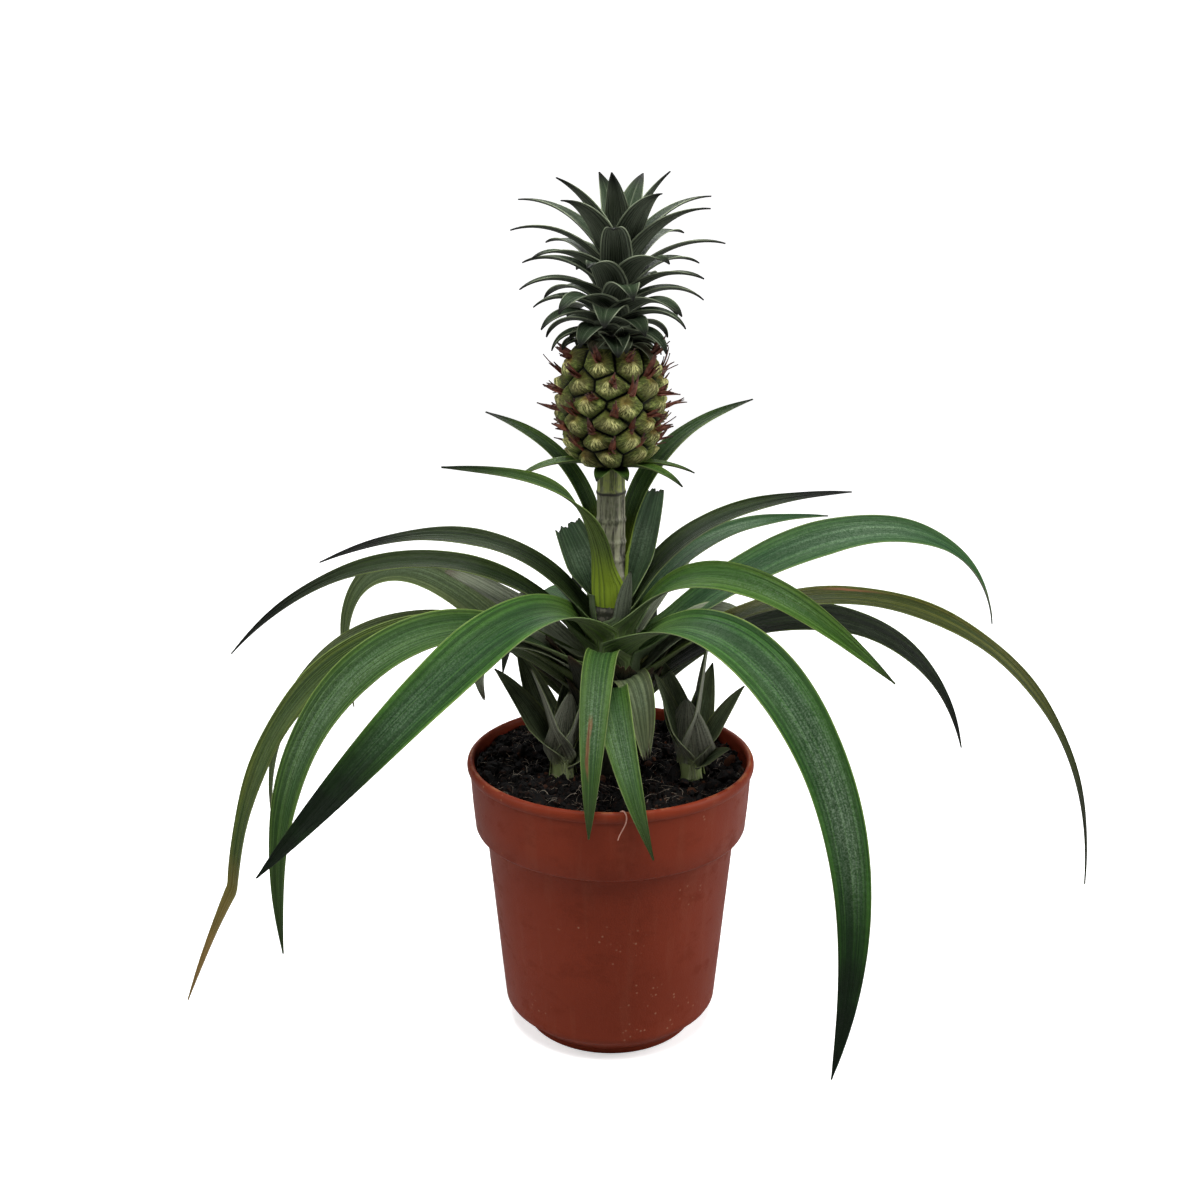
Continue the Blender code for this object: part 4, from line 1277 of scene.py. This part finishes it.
class PINE_OT_fruit(bpy.types.Operator):
    """Swell the fruit's eyes and set a dried flower on each"""

    bl_idname = "pine.fruit"
    bl_label = "Fruit"

    def execute(self, context):
        settings = context.scene.pine_fruit
        self.skin(settings)
        self.flowers(settings)
        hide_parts("fruit")
        return {"FINISHED"}

    def eyes(self, settings):
        """The azimuth and height of each eye, in staggered rows."""
        pitch = (FRUIT_TOP - FRUIT_BOTTOM - 4) / settings.rows
        for row in range(settings.rows):
            height = FRUIT_BOTTOM + 2 + pitch * (row + 0.5)
            for i in range(settings.around):
                yield 360.0 / settings.around * (i + 0.5 * (row % 2)), height

    def radius(self, settings, height):
        share = (height - FRUIT_MIDDLE) / FRUIT_HALF
        end, full = settings.end_radius / MM, settings.radius / MM
        return end + (full - end) * np.maximum(0, 1 - np.abs(share) ** 2.2) ** 0.7

    def skin(self, settings):
        heights = np.linspace(FRUIT_TOP, FRUIT_BOTTOM, 190)
        body = [(self.radius(settings, h), h) for h in heights]
        points, faces = turned([(0.01, FRUIT_TOP), *body, (0.01, FRUIT_BOTTOM)], 420)
        azimuth = np.degrees(np.arctan2(points[:, 1], points[:, 0]))
        reach = np.hypot(points[:, 0], points[:, 1])
        girth = self.radius(settings, points[:, 2]) + 1.5
        near = np.full(len(points), 90.0)
        second, own, across, high = near.copy(), near * 0, near * 0, near * 0
        chance = random.Random(SEED + 5)
        for eye_azimuth, eye_height in self.eyes(settings):
            turn = (azimuth - eye_azimuth - chance.uniform(-8, 8) + 180) % 360 - 180
            side = np.radians(turn) * girth
            above = points[:, 2] - eye_height + 1.4 - chance.uniform(-1.7, 1.7)
            apart = np.hypot(side, above * 1.30)
            nearer = apart < near
            second = np.where(nearer, near, np.minimum(second, apart))
            near = np.where(nearer, apart, near)
            across = np.where(nearer, side, across)
            high = np.where(nearer, above, high)
            own = np.where(nearer, chance.random(), own)
        dome = 1 - np.exp(-((second - near) / 2.6) ** 1.2)
        drop = 2.9 - high  # below the flower, which stands near the top of its eye
        from_flower = np.hypot(across, drop)
        fan_angle = np.arctan2(across, drop)
        flap = np.exp(-(fan_angle / 0.55) ** 2) * np.clip(from_flower / 1.5, 0, 1)
        flap = flap * np.clip(1.25 - from_flower / 7, 0, 1)
        hollow = np.exp(-((from_flower / 1.3) ** 2))
        fibres = 0.10 * np.sin(fan_angle * 21 + own * 6) * np.clip(from_flower / 3, 0, 1)
        rise = dome * (settings.relief / MM + 2.1 * flap - 1.1 * hollow + fibres)
        grown = np.where(reach > 1, 1 + rise / np.maximum(reach, 1), 1)
        points[:, :2] *= grown[:, None]
        eye = np.column_stack((fan_angle, from_flower, dome))
        kind = np.column_stack((own * 0, own, own * 0))
        shape = Shape()
        shape.add(points, faces, eye=eye, kind=kind)
        shape.build("fruit_body", fruit_finish(settings), crease=60)

    def flowers(self, settings):
        shape = Shape()
        draw = random.Random(SEED)
        extra = random.Random(SEED + 6)
        for azimuth, height in self.eyes(settings):
            azimuth += draw.uniform(-4, 4)
            rise = draw.uniform(5, 45)
            reach = draw.uniform(10, 14)
            out = float(self.radius(settings, height)) - 0.5
            for k in range(5):
                spread = extra.uniform(-9, 9) if k else 0
                x, y = extra.uniform(-0.7, 0.7), extra.uniform(-0.7, 0.7)
                start = around(out, azimuth, height + extra.uniform(0.5, 2.0), x, y)
                long = reach * (extra.uniform(0.55, 0.95) if k else 1.0) - 1
                lift = rise + extra.uniform(-8, 18)
                shape.grow(
                    start, azimuth + spread, lift, lift + extra.uniform(-25, 35), long,
                    extra.uniform(1.6, 2.8), stations=10, across=5, thick=0.55, rim=0.25, groove=0.05,
                    hug=1.6, roll=extra.uniform(-60, 60), wave=0.5, chance=extra.random(), foot_share=0.9)
        shape.build("dried_flowers", dried_finish(settings))


class PINE_OT_crown(bpy.types.Operator):
    """Unfold the crown of leaves on the fruit"""

    bl_idname = "pine.crown"
    bl_label = "Crown"

    def execute(self, context):
        settings = context.scene.pine_crown
        bloom = context.scene.pine_leaf.bloom
        shape = Shape()
        bottom = FRUIT_TOP + 0.3
        core = [(0.01, CROWN_TOP), (2.0, CROWN_TOP), (5.0, 318.0), (7.0, 305.0), (8.5, bottom),
                (0.01, bottom)]
        points, faces = turned(core, 40)
        shape.add(points, faces, blade=(0, 0, 0.1), kind=(0, 1, 0))
        draw = random.Random(SEED + 1)
        for k in range(settings.leaves):
            f = k / (settings.leaves - 1)
            azimuth = k * GOLDEN_ANGLE + draw.uniform(-4, 4)
            height = bottom + 2 + (CROWN_TOP - bottom - 5) * f
            start = around(6.5 - 5.5 * f, azimuth, height, CROWN_LEAN * f)
            upright = max(0.0, (f - CROWN_HEART) / (1 - CROWN_HEART))
            rise = 25 + 50 * f + 12 * upright + draw.uniform(-5, 5)
            fall = -75 + 85 * f + 45 * upright + draw.uniform(-8, 8)
            small = max(0.0, 1 - f / 0.3)  # the lowest leaves are smaller and narrower
            reach = 18 + 37 * f - 18 * upright + draw.uniform(-2, 2) - 2.5 * small
            width = settings.width / MM - 2.5 * f - 3.5 * small
            shape.grow(
                start, azimuth, rise, fall, reach, width, bend=0.55, hug=7.0, foot_share=0.95, stations=22,
                across=11, thick=0.8, rim=0.35, groove=0.10, wave=0.15, chance=(k * 0.618) % 1, sheath=2.0)
        shape.build("crown_leaves", crown_finish(settings, bloom), ["crown"])
        self.husks(settings, bloom)
        return {"FINISHED"}

    def husks(self, settings, bloom):
        """Small withered leaves where the crown meets the fruit."""
        shape = Shape()
        draw = random.Random(SEED + 11)
        for k in range(settings.husks):
            azimuth = k * GOLDEN_ANGLE + draw.uniform(-10, 10)
            start = around(6.0 + 0.12 * k, azimuth, FRUIT_TOP - 0.5 + 0.35 * k)
            rise = draw.uniform(10, 45)
            shape.grow(
                start, azimuth, rise, rise - draw.uniform(70, 130), draw.uniform(11, 17), draw.uniform(8, 11),
                bend=0.6, hug=8.0, foot_share=1.0, stations=18, across=11, thick=0.7, rim=0.3, groove=0.15,
                wave=0.9, roll=draw.uniform(-25, 25), chance=draw.random(), sheath=1.5)
        shape.build("crown_husks", crown_finish(settings, bloom, "crown_husk", 0.8))


OPERATORS = (PINE_OT_stage, PINE_OT_pot, PINE_OT_soil, PINE_OT_stalk, PINE_OT_leaves, PINE_OT_bases,
             PINE_OT_shoots, PINE_OT_fruit, PINE_OT_crown)


class PINE_PT_plant(bpy.types.Panel):
    """Lists the plant's pieces, with their sizes and colours"""

    bl_idname = "PINE_PT_plant"
    bl_label = "Potted pineapple plant"
    bl_space_type = "VIEW_3D"
    bl_region_type = "UI"
    bl_category = PANEL_TAB

    def draw(self, context):
        for key, group in SETTINGS.items():
            box = self.layout.box()
            box.label(text=group.__doc__)
            settings = getattr(context.scene, key)
            for field in group.__annotations__:
                box.prop(settings, field)
        for operator in OPERATORS:
            self.layout.operator(operator.bl_idname)


def register():
    for group in SETTINGS.values():
        bpy.utils.register_class(group)
    for key, group in SETTINGS.items():
        setattr(bpy.types.Scene, key, PointerProperty(type=group))
    for operator in OPERATORS:
        bpy.utils.register_class(operator)
    bpy.utils.register_class(PINE_PT_plant)


def unregister():
    bpy.utils.unregister_class(PINE_PT_plant)
    for operator in reversed(OPERATORS):
        bpy.utils.unregister_class(operator)
    for key in SETTINGS:
        delattr(bpy.types.Scene, key)
    for group in reversed(SETTINGS.values()):
        bpy.utils.unregister_class(group)


def main():
    register()
    bpy.ops.pine.stage()
    bpy.ops.pine.pot()
    bpy.ops.pine.soil()
    bpy.ops.pine.stalk()
    bpy.ops.pine.leaves()
    bpy.ops.pine.bases()
    bpy.ops.pine.shoots()
    bpy.ops.pine.fruit()
    bpy.ops.pine.crown()


if __name__ == "__main__":
    main()
